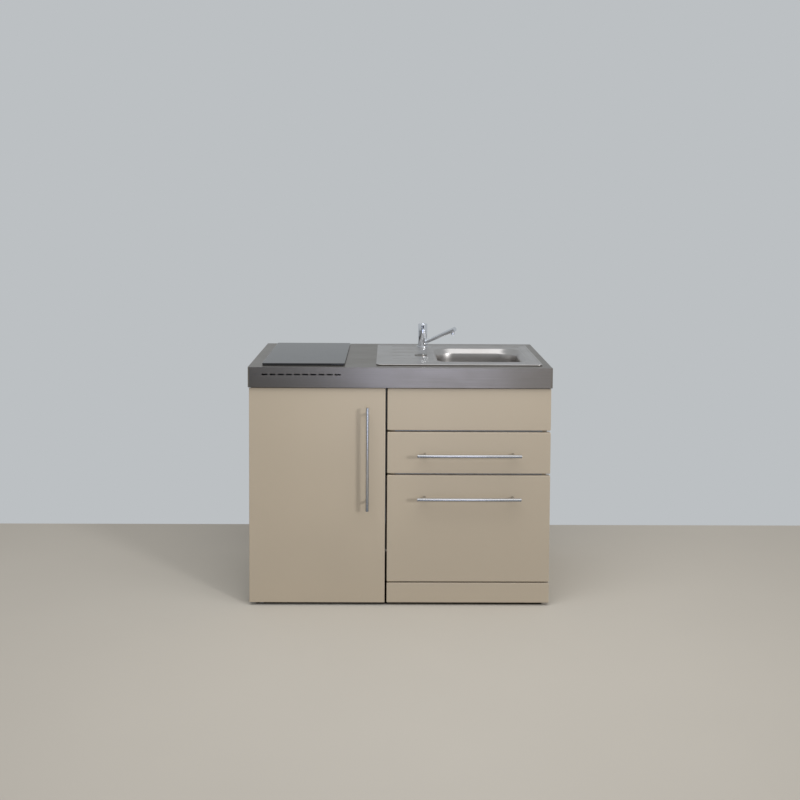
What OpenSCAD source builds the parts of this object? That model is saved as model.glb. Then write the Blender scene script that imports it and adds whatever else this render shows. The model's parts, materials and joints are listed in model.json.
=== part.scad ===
// Kitchenette: a steel worktop with an inset sink and a two-zone glass hob, carried by an
// undercounter refrigerator on the left and a sink cabinet with a drawer and a pull-out on the right.
// X runs to the right, Y to the back and Z up. The floor is Z = 0.

/* [Overall] */
// Width of the refrigerator module
fridge_module_w = 500; // [450:10:600]
// Width of the sink module
sink_module_w = 600; // [560:10:800]
// Depth of the worktop
top_d = 600; // [590:5:650]
// Height of the worktop above the floor
top_z = 875; // [850:5:920]
// Distance from the worktop's sides to the fronts
side_inset = 4; // [3:1:8]
// Gap between the two modules
module_gap = 7; // [4:1:12]
// Distance from the apron back to the fronts
front_recess = 8; // [4:1:12]
// Gap between the fronts and the floor
floor_gap = 11; // [9:1:16]
// Gap between the fronts and the apron
top_gap = 3; // [2:1:5]

/* [Worktop] */
// Sheet thickness of the worktop
top_t = 1.5; // [1:0.5:2]
// Height of the turned-down apron
apron_h = 73; // [70:1:85]
// Radius of the worktop's front corners
apron_r = 6; // [4:1:12]
// Width of the lip that the apron turns in at its lower edge
apron_lip = 12; // [8:1:16]
// Height of the turned-down edge at the back
rear_turn_h = 30; // [20:1:40]
// Number of ventilation slots in the apron
vent_count = 10; // [6:1:11]
// Length of a ventilation slot
vent_w = 22.5; // [16:0.5:26]
// Height of a ventilation slot
vent_h = 5.5; // [4:0.5:8]
// Distance from one slot to the next
vent_pitch = 29.2; // [28:0.1:32]
// Distance from the worktop's top to the middle of the slots
vent_drop = 26; // [20:1:40]
// Distance from the worktop's left side to the first slot
vent_left = 50; // [40:1:70]

/* [Fronts] */
// Thickness of the cabinet fronts
front_t = 18; // [16:1:22]
// Radius of the folded edges of the fronts
edge_r = 1.5; // [1:0.5:3]
// Radius of the corners of the cabinet fronts
corner_r = 4; // [3:1:8]
// Gap between one cabinet front and the next
front_gap = 7; // [4:1:8]
// Gap between the pull-out and the plinth
plinth_gap = 5; // [3:1:8]
// Height of the fixed panel at the top
top_panel_h = 153; // [145:1:160]
// Height of the drawer's front
drawer_front_h = 151; // [140:1:158]
// Height of the plinth
plinth_h = 73; // [60:1:80]
// Gap between a moving front and the cabinet's edge behind it
front_air = 0.5; // [0.3:0.1:1]

/* [Handles] */
// Diameter of a handle's bar
bar_d = 12; // [10:1:16]
// Length of a handle's bar
bar_l = 376; // [352:4:400]
// Diameter of a handle's posts
post_d = 9; // [7:1:10]
// Distance between a handle's posts
post_pitch = 320; // [256:32:320]
// Distance from the front to the bar's axis
standoff = 35; // [30:1:40]
// Distance from the upper edge of a cabinet front to its handle
handle_drop = 79; // [60:1:90]
// Distance from the edges of the refrigerator's door to its handle
door_handle_inset = 64; // [50:1:80]

/* [Hob] */
// Width of the hob
hob_w = 300; // [280:5:320]
// Depth of the hob
hob_d = 520; // [490:5:525]
// Distance from the worktop's left side to the hob
hob_left = 47; // [44:1:60]
// Distance from the apron to the hob
hob_front = 42; // [36:1:50]
// Thickness of the hob's glass
glass_t = 4; // [3:0.5:5]
// Thickness of the frame under the glass
trim_t = 4; // [3:0.5:5]
// Height of the casing below the frame
hob_case_h = 46; // [40:1:50]
// Width of worktop that the hob's frame and the sink's rim cover
overlap = 15; // [12:1:18]
// Clearance round what drops into a cut-out
cutout_air = 1; // [0.5:0.5:2]

/* [Sink] */
// Width of the sink
sink_w = 610; // [600:5:615]
// Depth of the sink
sink_d = 500; // [490:5:505]
// Corner radius of the sink
sink_r = 18; // [15:1:30]
// Sheet thickness of the sink
sink_t = 1; // [0.8:0.2:1.2]
// Distance from the worktop's right side to the sink
sink_right = 29; // [27:1:36]
// Distance from the apron to the sink
sink_front = 48; // [44:1:52]
// Height of the rim above the worktop
rim_h = 5; // [4:0.5:6]
// Height of the sink's deck above the worktop
deck_h = 2.5; // [2:0.5:3]
// Width of the bowl
bowl_w = 320; // [300:5:330]
// Front-to-back size of the bowl
bowl_l = 320; // [300:5:330]
// Corner radius of the bowl
bowl_r = 75; // [60:5:90]
// Depth of the bowl
bowl_depth = 150; // [135:5:155]
// Radius between the bowl's wall and its floor
bowl_fillet = 25; // [15:1:30]
// Distance from the sink's right edge to the bowl
bowl_right = 55; // [50:1:65]
// Distance from the sink's front edge to the bowl
bowl_front = 96; // [92:1:105]
// Depth of the shallow step round the bowl
step_h = 2.5; // [1.5:0.5:3]
// Distance from the bowl to the step at its left
step_left = 13; // [11:1:16]
// Distance from the bowl to the step at its right
step_right = 20; // [12:1:26]
// Distance from the bowl to the step at its front
step_front = 18; // [12:1:26]
// Distance from the sink's rear edge to the step behind the bowl
step_bank = 24; // [23:1:44]
// Number of drainer grooves
groove_count = 5; // [3:1:5]
// Distance from one drainer groove to the next
groove_pitch = 78; // [70:1:80]
// Radius of a drainer groove
groove_r = 7; // [5:0.5:8]
// Depth of a drainer groove
groove_depth = 3; // [2:0.5:3]
// Distance from the sink's left edge to the grooves
groove_left = 64; // [50:1:70]
// Distance from the bowl to the grooves' right ends
groove_right = 60; // [55:1:80]
// Hole in the bowl for the waste
waste_hole_d = 86; // [80:1:88]
// Hole in the drainer for the overflow
overflow_hole_d = 36; // [30:1:40]
// Outer diameter of the waste pipes
pipe_d = 40; // [32:8:40]
// Wall of the waste pipes and cups
pipe_wall = 2; // [1.5:0.5:2.5]

/* [Tap] */
// Diameter of the tap's body
tap_d = 38; // [36:1:44]
// Height of the tap's body with its cap
tap_h = 96; // [92:1:115]
// Height of the tap's cap
cap_h = 30; // [26:1:33]
// Reach of the spout from the tap's axis
spout_reach = 186; // [165:1:200]
// Rise of the spout from root to tip
spout_rise = 69; // [50:1:72]
// Diameter of the spout at its root
spout_d = 13; // [11:0.5:15]
// Diameter of the spout at its tip
spout_tip_d = 18; // [16:0.5:20]
// Distance from the spout's end back to its outlet
outlet_inset = 11; // [10:1:20]
// Length of the lever
lever_l = 78; // [60:1:90]
// Slope of the lever at rest, rising to the front
lever_slope = 12; // [5:1:20]
// Direction of the spout, turned to the front from straight right
spout_turn = 49; // [30:1:70]

/* [Refrigerator] */
// Thickness of the refrigerator's door
door_t = 45; // [42:1:55]
// Gap between the door and the cabinet, filled by the gasket
gasket_gap = 6; // [5:0.5:9]
// Wall of the cabinet with its insulation
wall_t = 40; // [34:1:46]
// Insulation and skins behind the cavity
back_wall_t = 50; // [45:1:60]
// Height of the machine niche at the back
niche_h = 190; // [175:5:200]
// Depth of the machine niche at the back
niche_d = 158; // [150:2:170]
// Height of the cabinet's floor above the ground
fridge_foot_h = 22; // [20:1:26]
// Distance from the cabinet's back to the worktop's back
rear_air = 20; // [10:1:25]
// Height of the ice box
icebox_h = 115; // [100:1:125]
// Depth of the ice box
icebox_d = 290; // [240:5:300]
// Thickness of the glass shelves
shelf_t = 4; // [3:0.5:5]
// Depth of a door bin
bin_d = 85; // [70:1:86]
// Diameter of the door's hinge pins
hinge_pin_d = 8; // [6:1:9]
// Distance from the door's left edge to the hinge axis
hinge_inset = 12; // [11:1:13]
// Distance from the door's face to the hinge axis
hinge_depth = 20; // [18:1:22]

/* [Cabinet] */
// Thickness of the cabinet's double-skinned side panels
side_t = 16; // [14:1:18]
// Distance from the edges of the fronts in to the side panels
side_reveal = 12; // [4:1:14]
// Thickness of the cabinet's bottom
bottom_t = 16; // [14:1:18]
// Sheet thickness of the hollow panels, fronts and rails
sheet_t = 1; // [0.8:0.1:1.5]
// Depth of the drawer and pull-out boxes
box_d = 450; // [400:10:455]
// Travel of the drawer and the pull-out
travel = 400; // [300:10:400]
// Height of the drawer's box
drawer_box_h = 85; // [60:1:90]
// Height of the pull-out's box
pullout_box_h = 200; // [140:5:240]
// Wall of the drawer's and the pull-out's box
box_wall = 2; // [1.5:0.5:3]
// Width of the space that a runner fills
runner_w = 12.7; // [12.7:0.1:14]
// Height of a runner
runner_h = 45; // [40:1:46]

/* [Clearances] */
// Radial clearance of pins and shafts that turn
pin_air = 0.05; // [0.03:0.01:0.1]
// Clearance between parts that slide past each other
slide_air = 0.3; // [0.2:0.1:0.4]

/* [Hidden] */
$fn = 48;
eps = 0.01;
fit_air = 0.1;
steel = [0.48, 0.47, 0.46];
sand = [0.69, 0.64, 0.56];
chrome_tint = [0.85, 0.86, 0.88];
plastic_white = [0.93, 0.94, 0.95];
plastic_grey = [0.62, 0.64, 0.66];
plastic_dark = [0.12, 0.12, 0.13];
glass_tint = [0.75, 0.88, 0.86];
// The plan of the whole unit
top_w = fridge_module_w + sink_module_w;
left_x = -top_w / 2;
right_x = top_w / 2;
handle_reach = standoff + bar_d / 2 - front_recess;
front_y = handle_reach - (top_d + handle_reach) / 2;
back_y = front_y + top_d;
face_y = front_y + front_recess;
split_x = left_x + fridge_module_w;
// Levels of the fronts, from the worktop down
fronts_top_z = top_z - apron_h - top_gap;
top_panel_z = fronts_top_z - top_panel_h;
drawer_top_z = top_panel_z - front_gap;
drawer_z = drawer_top_z - drawer_front_h;
pullout_top_z = drawer_z - front_gap;
plinth_top_z = floor_gap + plinth_h;
pullout_z = plinth_top_z + plinth_gap;
// Hob
hob_x = left_x + hob_left;
hob_y = front_y + hob_front;
hob_r = 5;
// Sink, its bowl and the waste
sink_x = right_x - sink_right - sink_w;
sink_y = front_y + sink_front;
bowl_x = sink_x + sink_w - bowl_right - bowl_w;
bowl_y = sink_y + bowl_front;
bowl_cx = bowl_x + bowl_w / 2;
bowl_cy = bowl_y + bowl_l / 2;
deck_z = top_z + deck_h;
ledge_z = deck_z - step_h;
ledge_r = 24;
bowl_floor_z = deck_z - bowl_depth;
lip_r = 6;
rim_w = 11;
waste_h = 58;
waste_wall = pipe_wall;
waste_cup_r = waste_hole_d / 2 - cutout_air;
waste_flange_r = waste_hole_d / 2 + 10;
waste_flange_t = 1.5;
basket_depth = 26;
basket_t = 1.2;
waste_spigot_r = pipe_d / 2 - pipe_wall - 0.2;
waste_base_z = bowl_floor_z - waste_h;
trap_bend_r = pipe_d / 2 + 6;
trap_straight = 18;
trap_z = waste_base_z - trap_straight - trap_bend_r;
nut_h = 16;
bottle_r = 30;
bottle_h = 120;
bottle_y = back_y - 66;
overflow_x = bowl_x - 64;
overflow_y = bowl_cy - 22;
overflow_pipe_d = 20;
overflow_drop = 42;
overflow_run_z = bowl_floor_z - 34;
overflow_way = [bowl_cx - overflow_x, bowl_cy - overflow_y];
overflow_angle = atan2(overflow_way[1], overflow_way[0]);
overflow_run_l = norm(overflow_way) - waste_cup_r - 3;
// Tap
tap_x = bowl_x - 51;
tap_y = sink_y + sink_d - 51;
tap_hole_d = 35;
tap_shank_r = tap_hole_d / 2 - 1.5;
tap_core_d = tap_d - 8;
shank_l = 46;
inlet_bore_r = 4.2;
inlet_spread = 7;
sleeve_z = 8;
sleeve_h = 34;
collar_z = sleeve_z + sleeve_h + slide_air;
spout_root_z = sleeve_z + 14;
spout_slope = atan2(spout_rise, spout_reach);
spout_len = norm([spout_reach, spout_rise]);
outlet_d = 14;
outlet_drop = 13;
outlet_x = spout_reach - outlet_inset;
outlet_top_z = spout_root_z + spout_rise * outlet_x / spout_reach;
outlet_z = outlet_top_z - outlet_drop;
cap_z = tap_h - cap_h;
lever_pivot_z = cap_z + cap_h / 2 + 3;
lever_w = 8;
lever_t = 5;
lever_hub_r = 5.8;
lever_pin_r = 2;
lever_pin_l = tap_d - 8.4;
// Refrigerator cabinet
fr_x0 = left_x + side_inset;
fr_x1 = split_x - module_gap / 2;
fr_w = fr_x1 - fr_x0;
fr_front_y = face_y + door_t + gasket_gap;
fr_back_y = back_y - rear_air;
hinge_notch = 8;
fr_top_z = fronts_top_z - hinge_notch;
skin_t = 1;
liner_t = 2;
cav_x0 = fr_x0 + wall_t;
cav_x1 = fr_x1 - wall_t;
cav_w = cav_x1 - cav_x0;
cav_z0 = fridge_foot_h + wall_t;
cav_z1 = fr_top_z - wall_t;
cav_y1 = fr_back_y - back_wall_t;
niche_y = fr_back_y - niche_d;
niche_z = fridge_foot_h + niche_h;
step_y = niche_y - back_wall_t;
step_z = niche_z + back_wall_t;
compressor_x = fr_x0 + fr_w * 0.62;
compressor_y = niche_y + niche_d / 2;
// Refrigerator interior
shelf_front_y = fr_front_y + 100;
shelf_levels = [step_z, step_z + 118, step_z + 238];
ledge_w = 8;
ledge_h = 6;
icebox_t = 1.5;
icebox_y = cav_y1 - icebox_d;
icebox_z = cav_z1 - icebox_h;
icebox_x0 = cav_x0 + 10;
icebox_x1 = cav_x1 - 10;
flap_t = 6;
flap_pin_d = 4;
flap_pivot_y = icebox_y - 4;
flap_pivot_z = cav_z1 - 9;
crisper_y0 = fr_front_y + 130;
crisper_wall = 2.5;
crisper_travel = 40;
thermo_y = fr_front_y + 190;
thermo_z = icebox_z - 62;
thermo_l = 100;
thermo_h = 56;
thermo_w = 30;
knob_d = 34;
knob_t = 12;
// Refrigerator door, with depths measured from its face
hinge_x = fr_x0 + hinge_inset;
hinge_y = face_y + hinge_depth;
cap_t = 11;
inner_skin = door_t - 8;
inner_flat = door_t - 4;
gasket_w = 14;
gasket_inset = hinge_inset + 1;
dyke_w = 25;
dyke_reach = 40;
dyke_air = 10;
bin_x0 = cav_x0 + dyke_air + dyke_w;
bin_w = cav_w - 2 * (dyke_air + dyke_w);
bin_levels = [cav_z0 + 20, cav_z0 + 270, cav_z0 + 430];
bin_heights = [110, 70, 60];
bin_wall = 2;
plate_t = 3;
shoulder_t = 2 - slide_air;
// Sink cabinet
cab_x0 = split_x + module_gap / 2;
cab_x1 = right_x - side_inset;
cab_w = cab_x1 - cab_x0;
cab_y0 = face_y + front_t + front_air;
cab_back_y = back_y - 6;
under_top_z = top_z - top_t;
riser_w = 30;
riser_front = 66;
side_notch = 28;
flange_inset = 12;
body_x0 = cab_x0 + side_reveal;
body_x1 = cab_x1 - side_reveal;
bay_x0 = body_x0 + side_t;
bay_x1 = body_x1 - side_t;
bay_w = bay_x1 - bay_x0;
bottom_z = plinth_top_z;
box_x0 = bay_x0 + runner_w;
box_w = bay_w - 2 * runner_w;
drawer_box_z = drawer_z + 17;
pullout_box_z = pullout_z + 16;
drawer_runner_z = drawer_box_z + runner_h / 2 + 8;
pullout_runner_z = pullout_box_z + runner_h / 2 + 8;
runner_t = 1.2;
runner_air = 0.4;
runner_l = box_d - 4;
fixed_half = runner_h / 2;
mid_half = fixed_half - runner_t - runner_air;
inner_half = mid_half - runner_t - runner_air;
back_panel_h = 470;
back_panel_t = 2;

// ---- Shapes that several pieces share ----

// A box between two corners
module span(from, to) {
    translate(from) cube(to - from);
}

// A flat rectangle with round corners, its lower left corner at the origin
module round_rect(w, d, r) {
    translate([r, 0]) square([w - 2 * r, d]);
    translate([0, r]) square([w, d - 2 * r]);
    for (x = [r, w - r], y = [r, d - r])
        translate([x, y]) circle(r);
}

// A plate with round corners
module round_plate(w, d, h, r) {
    linear_extrude(h) round_rect(w, d, r);
}

// The child profile swept round a rectangle with corner radius r. The profile's X counts outward
// from the rectangle's edge and its Y is the height.
module sweep_rect(w, d, r) {
    for (c = [[w - r, d - r, 0], [r, d - r, 90], [r, r, 180], [w - r, r, 270]])
        translate([c[0], c[1], 0]) rotate([0, 0, c[2]])
            rotate_extrude(angle = 90) translate([r, 0]) children();
    sides = [[w, r, 0, d - 2 * r], [w - r, d, 90, w - 2 * r],
             [0, d - r, 180, d - 2 * r], [r, 0, 270, w - 2 * r]];
    for (s = sides)
        translate([s[0], s[1], 0]) rotate([0, 0, s[2]])
            translate([0, s[3], 0]) rotate([90, 0, 0]) linear_extrude(s[3]) children();
}

// A quarter of a flat ring in the given quadrant
module quarter_ring(r_in, r_out, turn) {
    rotate(turn) intersection() {
        difference() {
            circle(r_out);
            circle(r_in);
        }
        square(r_out);
    }
}

// A tube along +Z
module tube(h, r_out, r_in) {
    difference() {
        cylinder(h = h, r = r_out);
        translate([0, 0, -1]) cylinder(h = h + 2, r = r_in);
    }
}

// A hexagonal or knurled nut as a ring with grip ribs round it
module grip_nut(h, r_out, r_in, ribs) {
    difference() {
        union() {
            cylinder(h = h, r = r_out);
            for (i = [0:ribs - 1])
                rotate([0, 0, i * 360 / ribs]) translate([r_out, 0, 0]) cylinder(h = h, r = 1.6);
        }
        translate([0, 0, -1]) cylinder(h = h + 2, r = r_in);
    }
}

// A hollow box of sheet metal between the origin and the given corner
module hollow_box(size) {
    difference() {
        cube(size);
        translate([sheet_t, sheet_t, sheet_t]) cube(size - 2 * [sheet_t, sheet_t, sheet_t]);
    }
}

// A hollow front panel with folded round edges and round corners, its face at Y = 0
module front_panel(w, h, t) {
    difference() {
        upright_plate(w, t, h, corner_r);
        translate([sheet_t, sheet_t, sheet_t])
            upright_plate(w - 2 * sheet_t, t - 2 * sheet_t, h - 2 * sheet_t, corner_r - sheet_t);
        round_front_edges(w, h);
    }
}

// A plate in the X-Z plane with round corners, t thick along Y
module upright_plate(w, t, h, r) {
    translate([0, t, 0]) rotate([90, 0, 0]) round_plate(w, h, t, r);
}

// What the folded edges take off a face at Y = 0
module round_front_edges(w, h) {
    union() {
        for (m = [0, 1]) translate([m * w, 0, -1]) mirror([m, 0, 0]) edge_cut(h + 2);
        for (m = [0, 1]) translate([-1, 0, m * h]) mirror([0, 0, m]) rotate([90, 0, 90]) edge_cut(w + 2);
    }
}

// What a round edge takes off a square corner at the origin, along +Z
module edge_cut(l) {
    linear_extrude(l) difference() {
        translate([-1, -1]) square(edge_r + 1);
        translate([edge_r, edge_r]) circle(edge_r);
    }
}

// A bar handle along X: the bar and its two posts, fixed to a face at Y = 0
module bar_handle() {
    translate([-bar_l / 2, -standoff, 0]) rotate([0, 90, 0]) cylinder(h = bar_l, d = bar_d);
    for (x = [-post_pitch / 2, post_pitch / 2])
        translate([x, 0, 0]) rotate([90, 0, 0]) cylinder(h = standoff, d = post_d);
}

// An open box with thin walls, its lower left front corner at the origin
module open_box(w, d, h, wall) {
    difference() {
        cube([w, d, h]);
        translate([wall, wall, wall]) cube([w - 2 * wall, d - 2 * wall, h]);
    }
}

// An adjustable foot: pad, hexagon collar and stem, from the floor to height h
module levelling_foot(h, pad_r, stem_r) {
    cylinder(h = 5, r = pad_r);
    cylinder(h = 9, r = pad_r * 0.7, $fn = 6);
    cylinder(h = h, r = stem_r);
}

// The stepped outline of the refrigerator in the Y-Z plane, moved outward by m
function stepped(front, floor_z, y_step, z_step, back, top, m) = [
    [front, floor_z - m], [y_step + m, floor_z - m], [y_step + m, z_step - m],
    [back + m, z_step - m], [back + m, top + m], [front, top + m]
];
function cavity_outline(front, m) = stepped(front, cav_z0, step_y, step_z, cav_y1, cav_z1, m);
function body_outline(front, m) = stepped(front, fridge_foot_h, niche_y, niche_z, fr_back_y, fr_top_z, m);

// An outline in the Y-Z plane, extruded along X
module along_x(x0, x1, points) {
    translate([x0, 0, 0]) rotate([90, 0, 90]) linear_extrude(x1 - x0) polygon(points);
}

// ---- Worktop ----

module worktop_outline(m) {
    r = apron_r - m;
    translate([left_x + m, front_y + m]) union() {
        translate([r, 0]) square([top_w - 2 * m - 2 * r, r]);
        translate([0, r]) square([top_w - 2 * m, top_d - 2 * m - r]);
        for (x = [r, top_w - 2 * m - r]) translate([x, r]) circle(r);
    }
}

module vent_slot() {
    rotate([90, 0, 0]) linear_extrude(4 * top_t, center = true) {
        translate([0, -vent_h / 2]) square([vent_w - vent_h, vent_h]);
        for (x = [0, vent_w - vent_h]) translate([x, 0]) circle(vent_h / 2);
    }
}

module worktop() {
    color(steel) difference() {
        translate([0, 0, top_z - apron_h]) linear_extrude(apron_h) worktop_outline(0);
        translate([0, 0, top_z - apron_h + top_t])
            linear_extrude(apron_h - 2 * top_t) worktop_outline(top_t);
        // The lip stays only at the front
        span([left_x + top_t, front_y + apron_lip, top_z - apron_h - 1],
             [right_x - top_t, back_y + 1, top_z - apron_h + 2 * top_t]);
        span([left_x + top_t, back_y - 2 * top_t, top_z - apron_h - 1],
             [right_x - top_t, back_y + 1, top_z - rear_turn_h]);
        translate([hob_x + overlap, hob_y + overlap, top_z - 2 * top_t])
            round_plate(hob_w - 2 * overlap, hob_d - 2 * overlap, 3 * top_t, hob_r);
        translate([sink_x + overlap, sink_y + overlap, top_z - 2 * top_t])
            round_plate(sink_w - 2 * overlap, sink_d - 2 * overlap, 3 * top_t, sink_r - overlap / 2);
        for (i = [0:vent_count - 1])
            translate([left_x + vent_left + i * vent_pitch + vent_h / 2, front_y, top_z - vent_drop])
                vent_slot();
    }
}

// Channels that stand on the refrigerator and carry the worktop
module riser(x) {
    difference() {
        span([x, fr_front_y + riser_front, fr_top_z], [x + riser_w, fr_back_y - 10, under_top_z]);
        span([x + 2, fr_front_y, fr_top_z + 2], [x + riser_w + 1, fr_back_y, under_top_z - 2]);
    }
}

module worktop_risers() {
    color("silver") {
        riser(fr_x0 + 8);
        translate([sink_x + overlap - 38 - riser_w / 2, 0, 0]) mirror([1, 0, 0]) riser(-riser_w / 2);
    }
}

// ---- Hob ----

module hob_glass() {
    color(plastic_dark) translate([hob_x, hob_y, top_z + trim_t]) round_plate(hob_w, hob_d, glass_t, hob_r);
}

module hob_trim() {
    lap = overlap + cutout_air;
    color(plastic_dark) translate([hob_x + 1, hob_y + 1, top_z]) difference() {
        round_plate(hob_w - 2, hob_d - 2, trim_t, hob_r - 1);
        translate([lap + 4, lap + 4, -1]) cube([hob_w - 2 * lap - 10, hob_d - 2 * lap - 10, trim_t + 2]);
    }
}

module hob_casing() {
    lap = overlap + cutout_air;
    x1 = hob_w - lap;
    y1 = hob_d - lap;
    color("silver") translate([hob_x, hob_y, top_z - hob_case_h]) difference() {
        union() {
            translate([lap, lap, 14]) cube([x1 - lap, y1 - lap, hob_case_h - 14]);
            translate([lap + 20, lap + 40, 0]) cube([x1 - lap - 40, y1 - lap - 80, 14]);
        }
        // The casing is sheet metal, hollow inside
        translate([lap + sheet_t, lap + sheet_t, 14 + sheet_t])
            cube([x1 - lap - 2 * sheet_t, y1 - lap - 2 * sheet_t, hob_case_h - 14 - 2 * sheet_t]);
        translate([lap + 20 + sheet_t, lap + 40 + sheet_t, sheet_t])
            cube([x1 - lap - 40 - 2 * sheet_t, y1 - lap - 80 - 2 * sheet_t, 14 + eps]);
        // Cooling louvres at the front and a recess for the terminals at the back
        for (i = [0:7]) translate([lap + 40 + i * 25, lap - 1, hob_case_h - 24]) cube([16, 5, 4]);
        translate([lap + 40, y1 - 70, -1]) cube([60, 31, 12]);
    }
}

// Spring clips that draw the hob and the sink down on the worktop. The leg stands at the origin,
// with its foot under the worktop on the -X side.
module inset_clip(leg_z) {
    rotate([90, 0, 0]) translate([0, 0, -10]) linear_extrude(20)
        polygon([[0, leg_z], [0, -top_t], [-9, -top_t], [-9, -top_t - 2], [-2, -top_t - 3],
                 [-2, -top_t - 14], [2.5, -top_t - 14], [2.5, leg_z]]);
}

module inset_clips() {
    lap = overlap + cutout_air;
    left_right = [for (f = [0.2, 0.8]) [[lap, f * sink_d, 0], [sink_w - lap, f * sink_d, 180]]];
    front_rear = [for (f = [0.3, 0.85]) [[f * sink_w, lap, 90], [f * sink_w, sink_d - lap, 270]]];
    color("silver") for (pair = concat(left_right, front_rear), p = pair)
        translate([sink_x + p[0], sink_y + p[1], top_z]) rotate([0, 0, p[2]]) inset_clip(deck_h - sink_t);
}

// ---- Sink and waste ----

// The rolled rim, with Y = 0 on the worktop
module rim_profile() {
    under = deck_h - sink_t;
    polygon([[0, 0], [0, 1], [-2.6, rim_h - 0.3], [-4.6, rim_h], [-rim_w + 1, deck_h], [-rim_w, deck_h],
             [-rim_w, under], [-rim_w + 1.4, under], [-4.6, rim_h - 1.2], [-1.4, 0]]);
}

// The step down from the deck to the ledge round the bowl, with Y = 0 at the deck's top
module step_profile() {
    polygon([[3, 0], [0, -step_h], [-1, -step_h], [-1, -step_h - sink_t],
             [1 - sink_t, -step_h - sink_t], [3 - sink_t, -sink_t], [4, -sink_t], [4, 0]]);
}

// The bowl's lip, wall and fillet, with Y = 0 at the ledge's top
module bowl_profile() {
    wall_h = ledge_z - bowl_floor_z;
    translate([lip_r, -lip_r]) quarter_ring(lip_r - sink_t, lip_r, 90);
    translate([0, bowl_fillet - wall_h]) square([sink_t, wall_h - lip_r - bowl_fillet]);
    translate([-bowl_fillet, bowl_fillet - wall_h]) quarter_ring(bowl_fillet, bowl_fillet + sink_t, 270);
}

// A channel with round ends between two X places
module groove(x0, x1, r) {
    translate([x0, 0, 0]) rotate([0, 90, 0]) cylinder(h = x1 - x0, r = r);
    for (x = [x0, x1]) translate([x, 0, 0]) sphere(r);
}

// The grooves end short of the tap, and further short of the overflow
module grooves(r) {
    right = bowl_x - groove_right;
    ends = [right - 25, right, right, overflow_x - overflow_hole_d - groove_r, right];
    for (i = [0:groove_count - 1])
        translate([0, bowl_y + bowl_l + 42 - i * groove_pitch, deck_z + groove_r - groove_depth])
            groove(sink_x + groove_left, ends[i], r);
}

// A plate of the sink's sheet, its top at the given height
module sheet_plate(x, y, z, w, d, r) {
    translate([x, y, z - sink_t]) round_plate(w, d, sink_t, r);
}

module sink() {
    floor_inset = bowl_fillet;
    ledge = [bowl_x - step_left, bowl_y - step_front];
    ledge_w = bowl_w + step_left + step_right;
    ledge_d = sink_y + sink_d - step_bank - ledge[1];
    color(steel) {
        translate([sink_x, sink_y, top_z]) sweep_rect(sink_w, sink_d, sink_r) rim_profile();
        difference() {
            union() {
                sheet_plate(sink_x + rim_w, sink_y + rim_w, deck_z, sink_w - 2 * rim_w, sink_d - 2 * rim_w,
                            sink_r - rim_w);
                intersection() {
                    grooves(groove_r + sink_t);
                    span([sink_x, sink_y, deck_z - 2 * groove_r], [bowl_x, sink_y + sink_d, deck_z]);
                }
            }
            grooves(groove_r);
            translate([ledge[0] - 3.5, ledge[1] - 3.5, deck_z - 2])
                round_plate(ledge_w + 7, ledge_d + 7, 4, ledge_r + 3.5);
            translate([overflow_x, overflow_y, deck_z - 2]) cylinder(h = 4, d = overflow_hole_d);
            translate([tap_x, tap_y, deck_z - 2]) cylinder(h = 4, d = tap_hole_d);
        }
        translate([ledge[0], ledge[1], deck_z]) sweep_rect(ledge_w, ledge_d, ledge_r) step_profile();
        difference() {
            sheet_plate(ledge[0], ledge[1], ledge_z, ledge_w, ledge_d, ledge_r);
            translate([bowl_x - lip_r, bowl_y - lip_r, ledge_z - 2])
                round_plate(bowl_w + 2 * lip_r, bowl_l + 2 * lip_r, 4, bowl_r + lip_r);
        }
        translate([bowl_x, bowl_y, ledge_z]) sweep_rect(bowl_w, bowl_l, bowl_r) bowl_profile();
        difference() {
            sheet_plate(bowl_x + floor_inset, bowl_y + floor_inset, bowl_floor_z,
                        bowl_w - 2 * floor_inset, bowl_l - 2 * floor_inset, bowl_r - floor_inset);
            translate([bowl_cx, bowl_cy, bowl_floor_z - 2]) cylinder(h = 4, d = waste_hole_d);
        }
    }
}

module waste_body() {
    inlet_r = overflow_pipe_d / 2 - pipe_wall - 0.2;
    color(steel) translate([bowl_cx, bowl_cy, 0]) {
        translate([0, 0, bowl_floor_z]) tube(waste_flange_t, waste_flange_r, waste_cup_r - waste_wall);
        difference() {
            union() {
                translate([0, 0, waste_base_z]) cylinder(h = waste_h + eps, r = waste_cup_r);
                overflow_inlet(waste_cup_r + 16, inlet_r);
            }
            translate([0, 0, waste_base_z - 1]) cylinder(h = waste_h + 2, r = waste_cup_r - waste_wall);
            overflow_inlet(waste_cup_r + 17, inlet_r - 1.5);
        }
        translate([0, 0, waste_base_z]) tube(waste_wall, waste_cup_r, waste_spigot_r - pipe_wall);
        translate([0, 0, waste_base_z - trap_straight + 2])
            tube(trap_straight - 2 + eps, waste_spigot_r, waste_spigot_r - pipe_wall);
        // Ring nut that draws the body up under the bowl
        translate([0, 0, bowl_floor_z - sink_t - 9]) grip_nut(9, waste_cup_r + 7, waste_cup_r - eps, 12);
    }
}

// The side inlet of the waste, pointing at the overflow
module overflow_inlet(l, r) {
    translate([0, 0, overflow_run_z]) rotate([0, 90, 180 + overflow_angle]) cylinder(h = l, r = r);
}

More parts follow.
